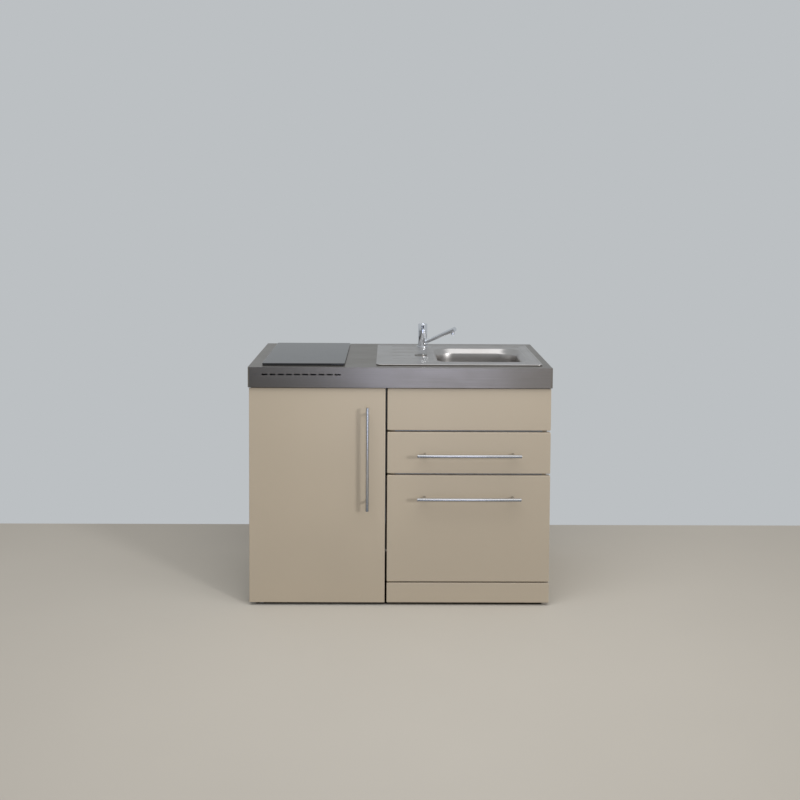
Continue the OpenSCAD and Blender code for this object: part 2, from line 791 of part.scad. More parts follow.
// A drilled basket that rests in the waste and lifts out by its knob
module strainer_basket() {
    r = waste_cup_r - waste_wall - slide_air;
    z0 = bowl_floor_z + waste_flange_t;
    floor_z = z0 - basket_depth;
    color("silver") translate([bowl_cx, bowl_cy, 0]) {
        translate([0, 0, z0]) tube(basket_t, waste_flange_r - 6, r - basket_t);
        difference() {
            translate([0, 0, floor_z]) cylinder(h = basket_depth + eps, r = r);
            translate([0, 0, floor_z + basket_t]) cylinder(h = basket_depth, r = r - basket_t);
            for (i = [0:11]) rotate([0, 0, i * 30]) translate([r - 10, 0, floor_z - 1])
                cylinder(h = basket_t + 2, d = 4);
            for (i = [0:5]) rotate([0, 0, i * 60]) translate([r - 19, 0, floor_z - 1])
                cylinder(h = basket_t + 2, d = 4);
        }
        translate([0, 0, floor_z + basket_t / 2]) cylinder(h = basket_depth - 6, d = 5);
        translate([0, 0, z0 - 6]) cylinder(h = 5, d = 18);
    }
}

module overflow_fitting() {
    flange_r = overflow_hole_d / 2 + 7;
    cup_r = overflow_hole_d / 2 - cutout_air;
    color(steel) translate([overflow_x, overflow_y, 0]) {
        difference() {
            union() {
                translate([0, 0, deck_z]) cylinder(h = 1.5, r = flange_r);
                translate([0, 0, deck_z - overflow_drop]) cylinder(h = overflow_drop + eps, r = cup_r);
                translate([0, 0, deck_z - overflow_drop - 12]) cylinder(h = 13, d = overflow_pipe_d - 4.4);
            }
            translate([0, 0, deck_z - overflow_drop + pipe_wall])
                cylinder(h = overflow_drop - pipe_wall - 1, r = cup_r - pipe_wall);
            translate([0, 0, deck_z - overflow_drop - 13]) cylinder(h = 20, d = overflow_pipe_d - 8);
            for (i = [0:5]) rotate([0, 0, i * 60]) translate([9, 0, deck_z - 3]) cylinder(h = 6, d = 5);
            translate([0, 0, deck_z - 3]) cylinder(h = 6, d = 5);
        }
        translate([0, 0, deck_z - sink_t - 6]) grip_nut(6, cup_r + 5, cup_r - eps, 8);
    }
}

// The overflow's pipe drops beside the bowl and runs under it to the waste
module overflow_pipe() {
    bend = overflow_pipe_d / 2 + 4;
    r = overflow_pipe_d / 2;
    top = deck_z - overflow_drop;
    color(plastic_white) translate([overflow_x, overflow_y, 0]) rotate([0, 0, overflow_angle]) {
        translate([0, 0, overflow_run_z + bend]) tube(top - overflow_run_z - bend, r, r - pipe_wall);
        translate([bend, 0, overflow_run_z + bend]) rotate([90, 180, 0]) rotate_extrude(angle = 90)
            translate([bend, 0]) difference() {
                circle(r);
                circle(r - pipe_wall);
            }
        translate([bend, 0, overflow_run_z]) rotate([0, 90, 0])
            tube(overflow_run_l - bend, r, r - pipe_wall);
    }
}

// A bend in the X = 0 plane from straight up at the origin's height to along +Y
module pipe_bend(r, bend) {
    translate([0, bend, 0]) rotate([0, 90, 0]) rotate([0, 0, 270])
        rotate_extrude(angle = 90) translate([bend, 0]) difference() {
            circle(r);
            circle(r - pipe_wall);
        }
}

// From the waste down, through a bend and back to the trap's bottle
module trap_pipe() {
    r = pipe_d / 2;
    color(plastic_white) translate([bowl_cx, bowl_cy, 0]) {
        translate([0, 0, waste_base_z - trap_straight]) tube(trap_straight, r, r - pipe_wall);
        translate([0, 0, trap_z + trap_bend_r]) pipe_bend(r, trap_bend_r);
        translate([0, trap_bend_r, trap_z]) rotate([-90, 0, 0])
            tube(bottle_y - bowl_cy - trap_bend_r - bottle_r + 3, r, r - pipe_wall);
    }
}

module trap_bottle() {
    top = trap_z + pipe_d / 2 + 12;
    r = pipe_d / 2;
    color(plastic_white) translate([bowl_cx, bottle_y, 0]) difference() {
        union() {
            translate([0, 0, top - bottle_h]) cylinder(h = bottle_h, r = bottle_r);
            translate([0, 0, trap_z]) rotate([-90, 0, 0]) cylinder(h = bottle_r + 5, r = r + 4);
            translate([0, 0, trap_z]) rotate([-90, 0, 0]) cylinder(h = back_y - bottle_y, r = r);
        }
        translate([0, 0, top - bottle_h + 3]) cylinder(h = bottle_h - 6, r = bottle_r - 3);
        translate([0, 0, trap_z]) rotate([-90, 0, 0]) cylinder(h = 200, r = r - pipe_wall);
        translate([0, 0, trap_z]) rotate([90, 0, 0]) cylinder(h = 50, r = r + fit_air);
    }
}

module trap_nut() {
    grip_nut(nut_h, pipe_d / 2 + 5, pipe_d / 2 + fit_air, 10);
}

module trap_nuts() {
    color(plastic_grey) translate([bowl_cx, 0, 0]) {
        translate([0, bowl_cy, waste_base_z - trap_straight]) trap_nut();
        translate([0, bottle_y - bottle_r - nut_h, trap_z]) rotate([-90, 0, 0]) trap_nut();
    }
}

// ---- Tap ----

module at_tap() {
    translate([tap_x, tap_y, deck_z]) children();
}

module tap_body() {
    color(chrome_tint) at_tap() {
        cylinder(h = 4, d = tap_d + 8);
        cylinder(h = sleeve_z - slide_air, d = tap_d);
        cylinder(h = cap_z, d = tap_core_d);
        translate([0, 0, collar_z]) cylinder(h = cap_z - collar_z - slide_air, d = tap_d);
        // Threaded shank through the sink, with its two inlet bores
        difference() {
            translate([0, 0, -shank_l]) cylinder(h = shank_l + eps, r = tap_shank_r);
            for (x = [-inlet_spread, inlet_spread])
                translate([x, 0, -shank_l - 1]) cylinder(h = 30, r = inlet_bore_r);
        }
    }
}

module tap_fixing() {
    color("silver") at_tap() {
        translate([0, 0, -sink_t - 4]) tube(4, tap_hole_d / 2 + 9, tap_shank_r + fit_air);
        translate([0, 0, -sink_t - 14]) difference() {
            cylinder(h = 10, r = tap_hole_d / 2 + 6, $fn = 6);
            translate([0, 0, -1]) cylinder(h = 12, r = tap_shank_r + fit_air);
        }
    }
}

// The spout rises from a sleeve that turns on the body's core, and widens to its closed end. The
// outlet hangs under it.
module tap_spout() {
    color(chrome_tint) at_tap() rotate([0, 0, -spout_turn]) difference() {
        union() {
            translate([0, 0, sleeve_z]) cylinder(h = sleeve_h, d = tap_d);
            translate([0, 0, spout_root_z]) rotate([0, 90 - spout_slope, 0])
                cylinder(h = spout_len, d1 = spout_d, d2 = spout_tip_d);
            translate([outlet_x, 0, outlet_z]) cylinder(h = outlet_drop, d = outlet_d);
        }
        translate([0, 0, sleeve_z - 1]) cylinder(h = sleeve_h + 2, r = tap_core_d / 2 + pin_air);
        translate([outlet_x, 0, outlet_z - 1]) cylinder(h = outlet_drop, d = outlet_d - 4);
    }
}

// A ring under the outlet, with a neck inside it and a screen across it
module tap_aerator() {
    neck_r = outlet_d / 2 - 2 - fit_air;
    color(chrome_tint) at_tap() rotate([0, 0, -spout_turn]) translate([outlet_x, 0, outlet_z - 4]) {
        tube(4, outlet_d / 2 + 1, outlet_d / 2 - 3);
        translate([0, 0, 1.5]) cylinder(h = 1.5, d = outlet_d - 5);
        translate([0, 0, 3]) tube(9, neck_r, neck_r - 1.5);
    }
}

module tap_cap() {
    slot_w = lever_w + 2 * slide_air;
    slot_back = lever_hub_r + 0.7;
    chamfer = 3;
    color(chrome_tint) at_tap() difference() {
        union() {
            translate([0, 0, cap_z]) cylinder(h = cap_h - chamfer, d = tap_d);
            translate([0, 0, tap_h - chamfer]) cylinder(h = chamfer, d1 = tap_d, d2 = tap_d - 5);
        }
        // The slot in which the lever lifts
        translate([-slot_w / 2, -tap_d, lever_pivot_z - slot_back])
            cube([slot_w, tap_d + slot_back, cap_h]);
        translate([-tap_d / 2 + 4, 0, lever_pivot_z]) rotate([0, 90, 0])
            cylinder(h = tap_d - 8, r = lever_pin_r);
    }
}

// A flat bar with a hub, on a pin across the cap
module tap_lever() {
    color(chrome_tint) at_tap() translate([0, 0, lever_pivot_z]) {
        translate([-lever_w / 2, 0, 0]) rotate([90, 0, 90]) linear_extrude(lever_w) {
            circle(lever_hub_r);
            rotate(-lever_slope) {
                translate([-lever_l + lever_t / 2, -lever_t / 2]) square([lever_l - lever_t / 2, lever_t]);
                translate([-lever_l + lever_t / 2, 0]) circle(d = lever_t);
            }
        }
        translate([-lever_pin_l / 2, 0, 0]) rotate([0, 90, 0])
            cylinder(h = lever_pin_l, r = lever_pin_r - pin_air);
    }
}

// ---- Refrigerator cabinet ----

module fridge_shell() {
    color("gainsboro") difference() {
        span([fr_x0, fr_front_y, fridge_foot_h], [fr_x1, fr_back_y, fr_top_z]);
        span([fr_x0 + skin_t, fr_front_y - 1, fridge_foot_h - 1],
             [fr_x1 - skin_t, fr_back_y + 1, fr_top_z - skin_t]);
    }
}

// One folded sheet: the bottom, the walls of the machine niche and the back
module fridge_back() {
    color("silver") difference() {
        along_x(fr_x0 + skin_t, fr_x1 - skin_t, body_outline(fr_front_y, 0));
        along_x(fr_x0, fr_x1, body_outline(fr_front_y - 1, -skin_t));
        span([fr_x0, fr_front_y - 1, fr_top_z - 1.5 * skin_t], [fr_x1, fr_back_y + 1, fr_top_z + 1]);
    }
}

module fridge_foam() {
    color("khaki") difference() {
        along_x(fr_x0 + skin_t, fr_x1 - skin_t, body_outline(fr_front_y + liner_t, -skin_t));
        along_x(cav_x0 - liner_t, cav_x1 + liner_t, cavity_outline(fr_front_y, liner_t));
    }
}

module shelf_ledges() {
    for (z = shelf_levels, m = [0, 1])
        translate([m * (cav_x0 + cav_x1), 0, 0]) mirror([m, 0, 0])
            span([cav_x0 - eps, shelf_front_y, z - ledge_h],
                 [cav_x0 + ledge_w, z > step_z ? cav_y1 - 20 : step_y, z]);
}

module fridge_liner() {
    color(plastic_white) {
        difference() {
            union() {
                along_x(cav_x0 - liner_t, cav_x1 + liner_t, cavity_outline(fr_front_y, liner_t));
                span([fr_x0 + skin_t, fr_front_y, fridge_foot_h + skin_t],
                     [fr_x1 - skin_t, fr_front_y + liner_t, fr_top_z - skin_t]);
            }
            along_x(cav_x0, cav_x1, cavity_outline(fr_front_y - 1, 0));
        }
        shelf_ledges();
    }
}

// Four feet under the refrigerator and four under the cabinet's bottom
module levelling_feet() {
    color(plastic_dark) {
        for (x = [fr_x0 + 70, fr_x1 - 40], y = [fr_front_y + 24, fr_back_y - 30])
            translate([x, y, 0]) levelling_foot(fridge_foot_h, 14, 5);
        for (x = [bay_x0 + 40, bay_x1 - 40], y = [cab_y0 + 50, cab_back_y - 50])
            translate([x, y, 0]) levelling_foot(bottom_z - bottom_t / 2, 24, 12);
    }
}

module compressor() {
    r = 58;
    color(plastic_dark) translate([compressor_x, compressor_y, fridge_foot_h + 6]) {
        rotate_extrude() union() {
            square([r, 90]);
            translate([0, 90]) square([r - 14, 14]);
            translate([r - 14, 90]) intersection() {
                circle(14);
                square(14);
            }
        }
        translate([-80, -40, -2]) cube([160, 80, 3]);
        for (x = [-68, 68], y = [-28, 28]) translate([x, y, -4]) cylinder(h = 12, r = 8);
    }
}

module compressor_tray() {
    color("silver") difference() {
        span([fr_x0 + skin_t, niche_y, fridge_foot_h], [fr_x1 - skin_t, fr_back_y, fridge_foot_h + 12]);
        span([fr_x0, niche_y + 2, fridge_foot_h + 2], [fr_x1, fr_back_y + 1, fridge_foot_h + 13]);
    }
}

module hinge_upper() {
    color("silver") {
        difference() {
            union() {
                span([hinge_x - 9, hinge_y, fr_top_z], [hinge_x + 9, fr_front_y + 2, fr_top_z + plate_t]);
                span([hinge_x - 9, fr_front_y, fr_top_z],
                     [hinge_x + 40, fr_front_y + 55, fr_top_z + plate_t]);
                translate([hinge_x, hinge_y, fr_top_z]) cylinder(h = plate_t, r = 9);
            }
            for (x = [4, 28])
                translate([hinge_x + x, fr_front_y + 40, fr_top_z - 1]) cylinder(h = 6, d = 5);
        }
        translate([hinge_x, hinge_y, fr_top_z - cap_t + 1]) cylinder(h = cap_t, d = hinge_pin_d);
    }
}

// The bracket under the door carries it on a shoulder and stands on a foot of its own
module hinge_lower() {
    z1 = floor_gap - 2;
    z0 = z1 - plate_t;
    color("silver") {
        translate([hinge_x, hinge_y, z0]) cylinder(h = plate_t, r = 9);
        span([hinge_x - 9, hinge_y, z0], [hinge_x + 9, fr_front_y + 8, z1]);
        span([hinge_x - 9, fr_front_y - 30, z0], [hinge_x + 42, fr_front_y + 8, z1]);
        span([hinge_x - 9, fr_front_y + 4, z0], [hinge_x + 42, fr_front_y + 4 + plate_t, fridge_foot_h]);
        span([hinge_x - 9, fr_front_y + 4, fridge_foot_h - plate_t],
             [hinge_x + 30, fr_front_y + 50, fridge_foot_h]);
        translate([hinge_x, hinge_y, z1 - eps]) cylinder(h = shoulder_t, d = hinge_pin_d + 8);
        translate([hinge_x, hinge_y, z1 - eps]) cylinder(h = shoulder_t + 9, d = hinge_pin_d);
        translate([hinge_x + 30, fr_front_y - 16, 0]) cylinder(h = z0 + eps, r = 12);
    }
}

// ---- Refrigerator interior ----

module icebox() {
    color("silver") difference() {
        span([icebox_x0, icebox_y, icebox_z], [icebox_x1, cav_y1, cav_z1]);
        span([icebox_x0 + icebox_t, icebox_y - 1, icebox_z + icebox_t],
             [icebox_x1 - icebox_t, cav_y1 - icebox_t, cav_z1 - icebox_t]);
    }
    // Ears that carry the flap
    color("silver") for (x = [icebox_x0, icebox_x1 - icebox_t]) difference() {
        span([x, icebox_y - 9, flap_pivot_z - 6], [x + icebox_t, icebox_y + eps, flap_pivot_z + 6]);
        translate([x - 1, flap_pivot_y, flap_pivot_z]) rotate([0, 90, 0])
            cylinder(h = icebox_t + 2, d = flap_pin_d + 2 * pin_air);
    }
}

module icebox_flap() {
    x0 = icebox_x0 + icebox_t + slide_air;
    x1 = icebox_x1 - icebox_t - slide_air;
    color(plastic_white) {
        span([x0, flap_pivot_y - flap_t / 2, icebox_z + 4], [x1, flap_pivot_y + flap_t / 2, flap_pivot_z]);
        translate([x0, flap_pivot_y, flap_pivot_z]) rotate([0, 90, 0]) cylinder(h = x1 - x0, d = flap_t);
        translate([x0 - icebox_t - slide_air, flap_pivot_y, flap_pivot_z]) rotate([0, 90, 0])
            cylinder(h = x1 - x0 + 2 * (icebox_t + slide_air), d = flap_pin_d);
        span([(x0 + x1) / 2 - 40, flap_pivot_y - flap_t / 2 - 6, icebox_z + 14],
             [(x0 + x1) / 2 + 40, flap_pivot_y, icebox_z + 18]);
    }
}

module thermostat_box() {
    color(plastic_white) difference() {
        span([cav_x1 - thermo_w, thermo_y, thermo_z], [cav_x1, thermo_y + thermo_l, thermo_z + thermo_h]);
        translate([cav_x1 - thermo_w - 1, thermo_y + 26, thermo_z + thermo_h / 2]) rotate([0, 90, 0])
            cylinder(h = 16, r = 4 + pin_air);
    }
}

module thermostat_knob() {
    color(plastic_grey) translate([cav_x1 - thermo_w - slide_air, thermo_y + 26, thermo_z + thermo_h / 2])
        rotate([0, -90, 0]) {
            difference() {
                cylinder(h = knob_t, d = knob_d);
                for (i = [0:11])
                    rotate([0, 0, i * 30]) translate([knob_d / 2 + 1, 0, 2]) cylinder(h = knob_t, d = 5);
            }
            translate([0, 0, -12]) cylinder(h = 13, r = 4);
        }
}

module shelf(z, y1) {
    color(glass_tint) translate([cav_x0 + slide_air, shelf_front_y, z])
        round_plate(cav_w - 2 * slide_air, y1 - shelf_front_y, shelf_t, 4);
}

module crisper() {
    x0 = cav_x0 + 16;
    w = cav_w - 32;
    d = step_y - 6 - crisper_y0;
    h = shelf_levels[0] - ledge_h - cav_z0 - 14;
    color(glass_tint) translate([x0, crisper_y0, cav_z0]) {
        open_box(w, d, h, crisper_wall);
        translate([0, 2 - 16, h - 4]) cube([w, 16, 4]);
        translate([0, -14, h - 14]) cube([w, 2.5, 14]);
    }
}

// ---- Refrigerator door ----

// The steel skin: face, side flanges and a short return along the top
module door_skin() {
    h = fronts_top_z - floor_gap;
    notch_z = fr_top_z - floor_gap - 1;
    color(sand) translate([fr_x0, face_y, floor_gap]) difference() {
        cube([fr_w, inner_skin, h]);
        round_front_edges(fr_w, h);
        translate([skin_t, skin_t, -1]) cube([fr_w - 2 * skin_t, door_t, h - skin_t + 1]);
        // The top is open behind a short return, and wholly open round the hinge
        translate([-1, 10, notch_z]) cube([fr_w + 2, door_t, hinge_notch + 2]);
        translate([-1, 2 * skin_t, notch_z]) cube([hinge_inset + 3, door_t, hinge_notch + 2]);
    }
}

module door_foam() {
    color("khaki") span([fr_x0 + skin_t, face_y + skin_t, floor_gap + cap_t],
                        [fr_x1 - skin_t, face_y + inner_skin, fr_top_z - 1 - cap_t]);
}

// Plastic end caps, each with the bush of a hinge pin
module door_caps() {
    color(plastic_grey) for (z = [floor_gap, fr_top_z - 1 - cap_t]) difference() {
        span([fr_x0 + skin_t, face_y + skin_t, z], [fr_x1 - skin_t, face_y + inner_skin, z + cap_t]);
        translate([hinge_x, hinge_y, z - 1]) cylinder(h = cap_t + 2, r = hinge_pin_d / 2 + pin_air);
    }
}

module door_liner() {
    y0 = face_y + inner_skin;
    y1 = face_y + inner_flat;
    y2 = face_y + door_t + dyke_reach;
    z0 = bin_levels[0] - 10;
    z1 = cav_z1 - 14;
    color(plastic_white) {
        span([fr_x0 + 2, y0, floor_gap + 2], [fr_x1 - 2, y1, fr_top_z - 3]);
        difference() {
            span([cav_x0 + dyke_air, y1 - eps, z0], [cav_x1 - dyke_air, face_y + door_t + 4, z1]);
            span([bin_x0 + 6, face_y + door_t, z0 + 20],
                 [bin_x0 + bin_w - 6, face_y + door_t + 10, z1 - 20]);
        }
        for (x = [cav_x0 + dyke_air, cav_x1 - dyke_air - dyke_w])
            span([x, y1 - eps, z0], [x + dyke_w, y2, z1 - 120]);
        // Lugs that the bins hang on
        for (z = bin_levels, x = [bin_x0 - eps, bin_x0 + bin_w - 5])
            span([x, face_y + door_t + 14, z - 8], [x + 5 + eps, y2 - 8, z]);
    }
}

module door_gasket() {
    x0 = fr_x0 + gasket_inset;
    z0 = fridge_foot_h + 8;
    w = fr_w - 2 * gasket_inset;
    h = fr_top_z - 8 - z0;
    y0 = face_y + inner_flat;
    y1 = fr_front_y - slide_air;
    color(plastic_grey) {
        translate([x0, y0, z0]) ring_frame(w, h, gasket_w, 4);
        translate([x0 + 2.5, y0 + 4 - eps, z0 + 2.5])
            ring_frame(w - 5, h - 5, gasket_w - 5, y1 - y0 - 4 + eps);
    }
}

// A rectangular frame in the X-Z plane, t thick along Y
module ring_frame(w, h, edge, t) {
    difference() {
        cube([w, t, h]);
        translate([edge, -1, edge]) cube([w - 2 * edge, t + 2, h - 2 * edge]);
    }
}

module door_bin(z, h) {
    translate([bin_x0 + slide_air, face_y + door_t + 4 + slide_air, z])
        color(glass_tint) open_box(bin_w - 2 * slide_air, bin_d, h, bin_wall);
}

module door_handle() {
    color(chrome_tint)
        translate([fr_x1 - door_handle_inset, face_y, fronts_top_z - door_handle_inset - bar_l / 2])
            rotate([0, 90, 0]) bar_handle();
}

// ---- Sink cabinet ----

// A hollow panel, lowered where the sink passes over it
module side_panel() {
    low = under_top_z - floor_gap - side_notch;
    d = cab_back_y - cab_y0;
    hollow_box([side_t, d, low]);
    for (y = [0, sink_y + sink_d - 2 - cab_y0])
        translate([0, y, low - eps]) cube([side_t, y == 0 ? sink_y + 8 - cab_y0 : d - y, side_notch + eps]);
}

// The left side has a flange that closes the gap to the refrigerator near the back
module cabinet_sides() {
    color(sand) {
        for (x = [body_x0, bay_x1]) translate([x, cab_y0, floor_gap]) side_panel();
        span([fr_x1 + slide_air, fr_back_y - flange_inset, floor_gap],
             [body_x0 + eps, fr_back_y - flange_inset + sheet_t, fr_top_z]);
    }
}

// The bottom, and a back that leaves the space under the worktop open for pipes
module cabinet_panels() {
    z0 = bottom_z + bottom_t / 2;
    color(sand) {
        translate([bay_x0, cab_y0, z0 - bottom_t]) hollow_box([bay_w, cab_back_y - cab_y0, bottom_t]);
        span([bay_x0, cab_back_y - back_panel_t, z0], [bay_x1, cab_back_y, z0 + back_panel_h]);
    }
}

// A channel between the sides, open below
module cross_rail(z, y) {
    difference() {
        span([bay_x0, y, z], [bay_x1, y + 18, z + 16]);
        span([bay_x0 - 1, y + sheet_t, z - 1], [bay_x1 + 1, y + 18 - sheet_t, z + 16 - sheet_t]);
    }
}

module cabinet_rails() {
    color("silver") {
        cross_rail(fronts_top_z - 20, cab_y0);
        cross_rail(drawer_top_z - 4, cab_y0);
        cross_rail(pullout_top_z - 5, cab_y0);
        cross_rail(fronts_top_z - 20, cab_back_y - 18);
    }
}

// A front between two heights. A fixed one reaches back to the cabinet's edge.
module cabinet_front(z0, z1, t) {
    color(sand) translate([cab_x0, face_y, z0]) front_panel(cab_w, z1 - z0, t);
}

module top_panel() {
    cabinet_front(top_panel_z, fronts_top_z, front_t + front_air);
}

module plinth() {
    cabinet_front(floor_gap, plinth_top_z, front_t + front_air);
}

module drawer_front() {
    cabinet_front(drawer_z, drawer_top_z, front_t);
}

module pullout_front() {
    cabinet_front(pullout_z, pullout_top_z, front_t);
}

// A sheet-steel box with the inner members of its two runners
module runner_box(z, h, runner_z) {
    y0 = face_y + front_t;
    translate([box_x0, y0, z]) open_box(box_w, box_d, h, box_wall);
    for (m = [0, 1])
        translate([m * (box_x0 * 2 + box_w), y0 + 2, runner_z]) mirror([m, 0, 0])
            translate([box_x0 - runner_w, 0, 0]) inner_member();
}

module drawer_box() {
    color("silver") runner_box(drawer_box_z, drawer_box_h, drawer_runner_z);
}

module pullout_box() {
    color("silver") runner_box(pullout_box_z, pullout_box_h, pullout_runner_z);
}

// Members of a telescopic runner, with the cabinet's side at X = 0. Each is a channel in the
// X-Z plane: a web and two flanges.
module channel(x_web, x_end, half_h) {
    lo = min(x_web, x_end);
    hi = max(x_web, x_end);
    translate([lo, 0, -half_h]) cube([hi - lo, runner_l, runner_t]);
    translate([lo, 0, half_h - runner_t]) cube([hi - lo, runner_l, runner_t]);
    translate([x_web < x_end ? lo : hi - runner_t, 0, -half_h]) cube([runner_t, runner_l, 2 * half_h]);
}

module inner_member() {
    channel(runner_w, runner_t * 2 + runner_air * 2, inner_half);
}

module mid_member() {
    channel(runner_t + runner_air, runner_w - runner_t - 1.5, mid_half);
}

module fixed_member() {
    channel(0, runner_w - 2, fixed_half);
}

module both_sides(z) {
    for (m = [0, 1])
        translate([m * (bay_x0 + bay_x1), face_y + front_t + 2, z]) mirror([m, 0, 0])
            translate([bay_x0, 0, 0]) children();
}

module runners_fixed() {
    color("silver") for (z = [drawer_runner_z, pullout_runner_z]) both_sides(z) fixed_member();
}

module drawer_slides() {
    color("silver") both_sides(drawer_runner_z) mid_member();
}

module pullout_slides() {
    color("silver") both_sides(pullout_runner_z) mid_member();
}

module drawer_handle() {
    color(chrome_tint) translate([(cab_x0 + cab_x1) / 2, face_y, drawer_top_z - handle_drop]) bar_handle();
}

module pullout_handle() {
    color(chrome_tint) translate([(cab_x0 + cab_x1) / 2, face_y, pullout_top_z - handle_drop]) bar_handle();
}

worktop();
worktop_risers();
hob_glass();
hob_trim();
hob_casing();
inset_clips();
sink();
waste_body();
strainer_basket();
overflow_fitting();
overflow_pipe();
trap_pipe();
trap_bottle();
trap_nuts();
tap_body();
tap_fixing();
tap_spout();
tap_aerator();
tap_cap();
tap_lever();
fridge_shell();
fridge_back();
fridge_foam();
fridge_liner();
levelling_feet();
compressor();
compressor_tray();
hinge_upper();
hinge_lower();
icebox();
icebox_flap();
thermostat_box();
thermostat_knob();
shelf(shelf_levels[0], cav_y1 - slide_air);  // shelf_lower
shelf(shelf_levels[1], cav_y1 - slide_air);  // shelf_middle
shelf(shelf_levels[2], cav_y1 - slide_air);  // shelf_upper
crisper();
door_skin();
door_foam();
door_caps();
door_liner();
door_gasket();
door_bin(bin_levels[0], bin_heights[0]);  // door_bin_lower
door_bin(bin_levels[1], bin_heights[1]);  // door_bin_middle
door_bin(bin_levels[2], bin_heights[2]);  // door_bin_upper
door_handle();
cabinet_sides();
cabinet_panels();
cabinet_rails();
runners_fixed();
top_panel();
plinth();
drawer_front();
drawer_box();
drawer_handle();
drawer_slides();
pullout_front();
pullout_box();
pullout_handle();
pullout_slides();
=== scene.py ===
"""Looks of a kitchenette: a steel worktop with sink, tap and hob on a refrigerator and a cabinet.

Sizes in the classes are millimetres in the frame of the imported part. Meshes are written in metres.
"""

import json
import logging
import math
from collections.abc import Callable, Sequence
from dataclasses import dataclass, field
from enum import Enum
from typing import Any

import bmesh
import bpy
import numpy as np
from mathutils import Euler, Matrix, Vector

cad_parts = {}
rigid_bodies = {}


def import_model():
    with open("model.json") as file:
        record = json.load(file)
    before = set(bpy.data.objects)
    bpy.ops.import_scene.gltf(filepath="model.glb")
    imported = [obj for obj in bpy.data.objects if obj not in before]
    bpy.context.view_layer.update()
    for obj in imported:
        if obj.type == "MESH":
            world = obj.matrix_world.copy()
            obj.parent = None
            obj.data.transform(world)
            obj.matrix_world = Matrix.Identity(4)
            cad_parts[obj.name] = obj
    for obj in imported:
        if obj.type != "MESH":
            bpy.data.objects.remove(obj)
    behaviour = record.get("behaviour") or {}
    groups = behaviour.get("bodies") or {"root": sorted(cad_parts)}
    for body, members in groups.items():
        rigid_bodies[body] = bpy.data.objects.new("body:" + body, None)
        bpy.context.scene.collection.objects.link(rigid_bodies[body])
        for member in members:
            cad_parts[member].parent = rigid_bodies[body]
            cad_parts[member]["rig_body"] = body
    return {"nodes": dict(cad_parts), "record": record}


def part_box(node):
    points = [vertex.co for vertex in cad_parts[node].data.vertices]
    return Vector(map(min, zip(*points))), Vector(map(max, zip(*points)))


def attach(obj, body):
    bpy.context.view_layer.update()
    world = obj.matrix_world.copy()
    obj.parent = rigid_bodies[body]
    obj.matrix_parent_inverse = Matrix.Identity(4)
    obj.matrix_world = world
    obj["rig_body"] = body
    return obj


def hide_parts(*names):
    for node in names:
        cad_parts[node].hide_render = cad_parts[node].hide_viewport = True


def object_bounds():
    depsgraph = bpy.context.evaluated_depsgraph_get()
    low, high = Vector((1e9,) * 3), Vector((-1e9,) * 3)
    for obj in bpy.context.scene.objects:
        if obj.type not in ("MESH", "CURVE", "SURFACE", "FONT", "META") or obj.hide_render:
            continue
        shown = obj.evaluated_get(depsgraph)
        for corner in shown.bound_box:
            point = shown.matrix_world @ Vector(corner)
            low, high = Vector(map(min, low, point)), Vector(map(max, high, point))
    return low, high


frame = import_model()  # nodes, record
CAD_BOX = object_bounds()

MM = 0.001
TINY = 1e-6
Array = np.ndarray
Point = tuple[float, float, float]
Colour = tuple[float, float, float, float]
Profile = Sequence[tuple[float, float]]
Modifier = tuple[str, str, dict[str, Any]]  # name, type, settings
log = logging.getLogger("kitchenette")


# ---- Shader maths ----


class Wire:
    """A shader socket on which arithmetic adds Math nodes."""

    def __init__(self, shader: "Shader", socket: bpy.types.NodeSocket) -> None:
        """Keeps the socket and the shader that it belongs to."""
        self.shader = shader
        self.socket = socket

    def __add__(self, other: "Wire | float") -> "Wire":
        """The sum."""
        return self.shader.maths("ADD", self, other)

    def __sub__(self, other: "Wire | float") -> "Wire":
        """The difference."""
        return self.shader.maths("SUBTRACT", self, other)

    def __rsub__(self, other: float) -> "Wire":
        """The difference, from a number."""
        return self.shader.maths("SUBTRACT", other, self)

    def __mul__(self, other: "Wire | float") -> "Wire":
        """The product."""
        return self.shader.maths("MULTIPLY", self, other)

    def __pow__(self, other: float) -> "Wire":
        """The power."""
        return self.shader.maths("POWER", self, other)

    __radd__ = __add__
    __rmul__ = __mul__

    def fade(self, low: float, high: float) -> "Wire":
        """0 below low, 1 above high, and a smooth step between them."""
        node = self.shader.node(
            "ShaderNodeMapRange",
            {"interpolation_type": "SMOOTHSTEP"},
            {"Value": self, "From Min": low, "From Max": high},
        )
        return self.shader.wire(node, "Result")


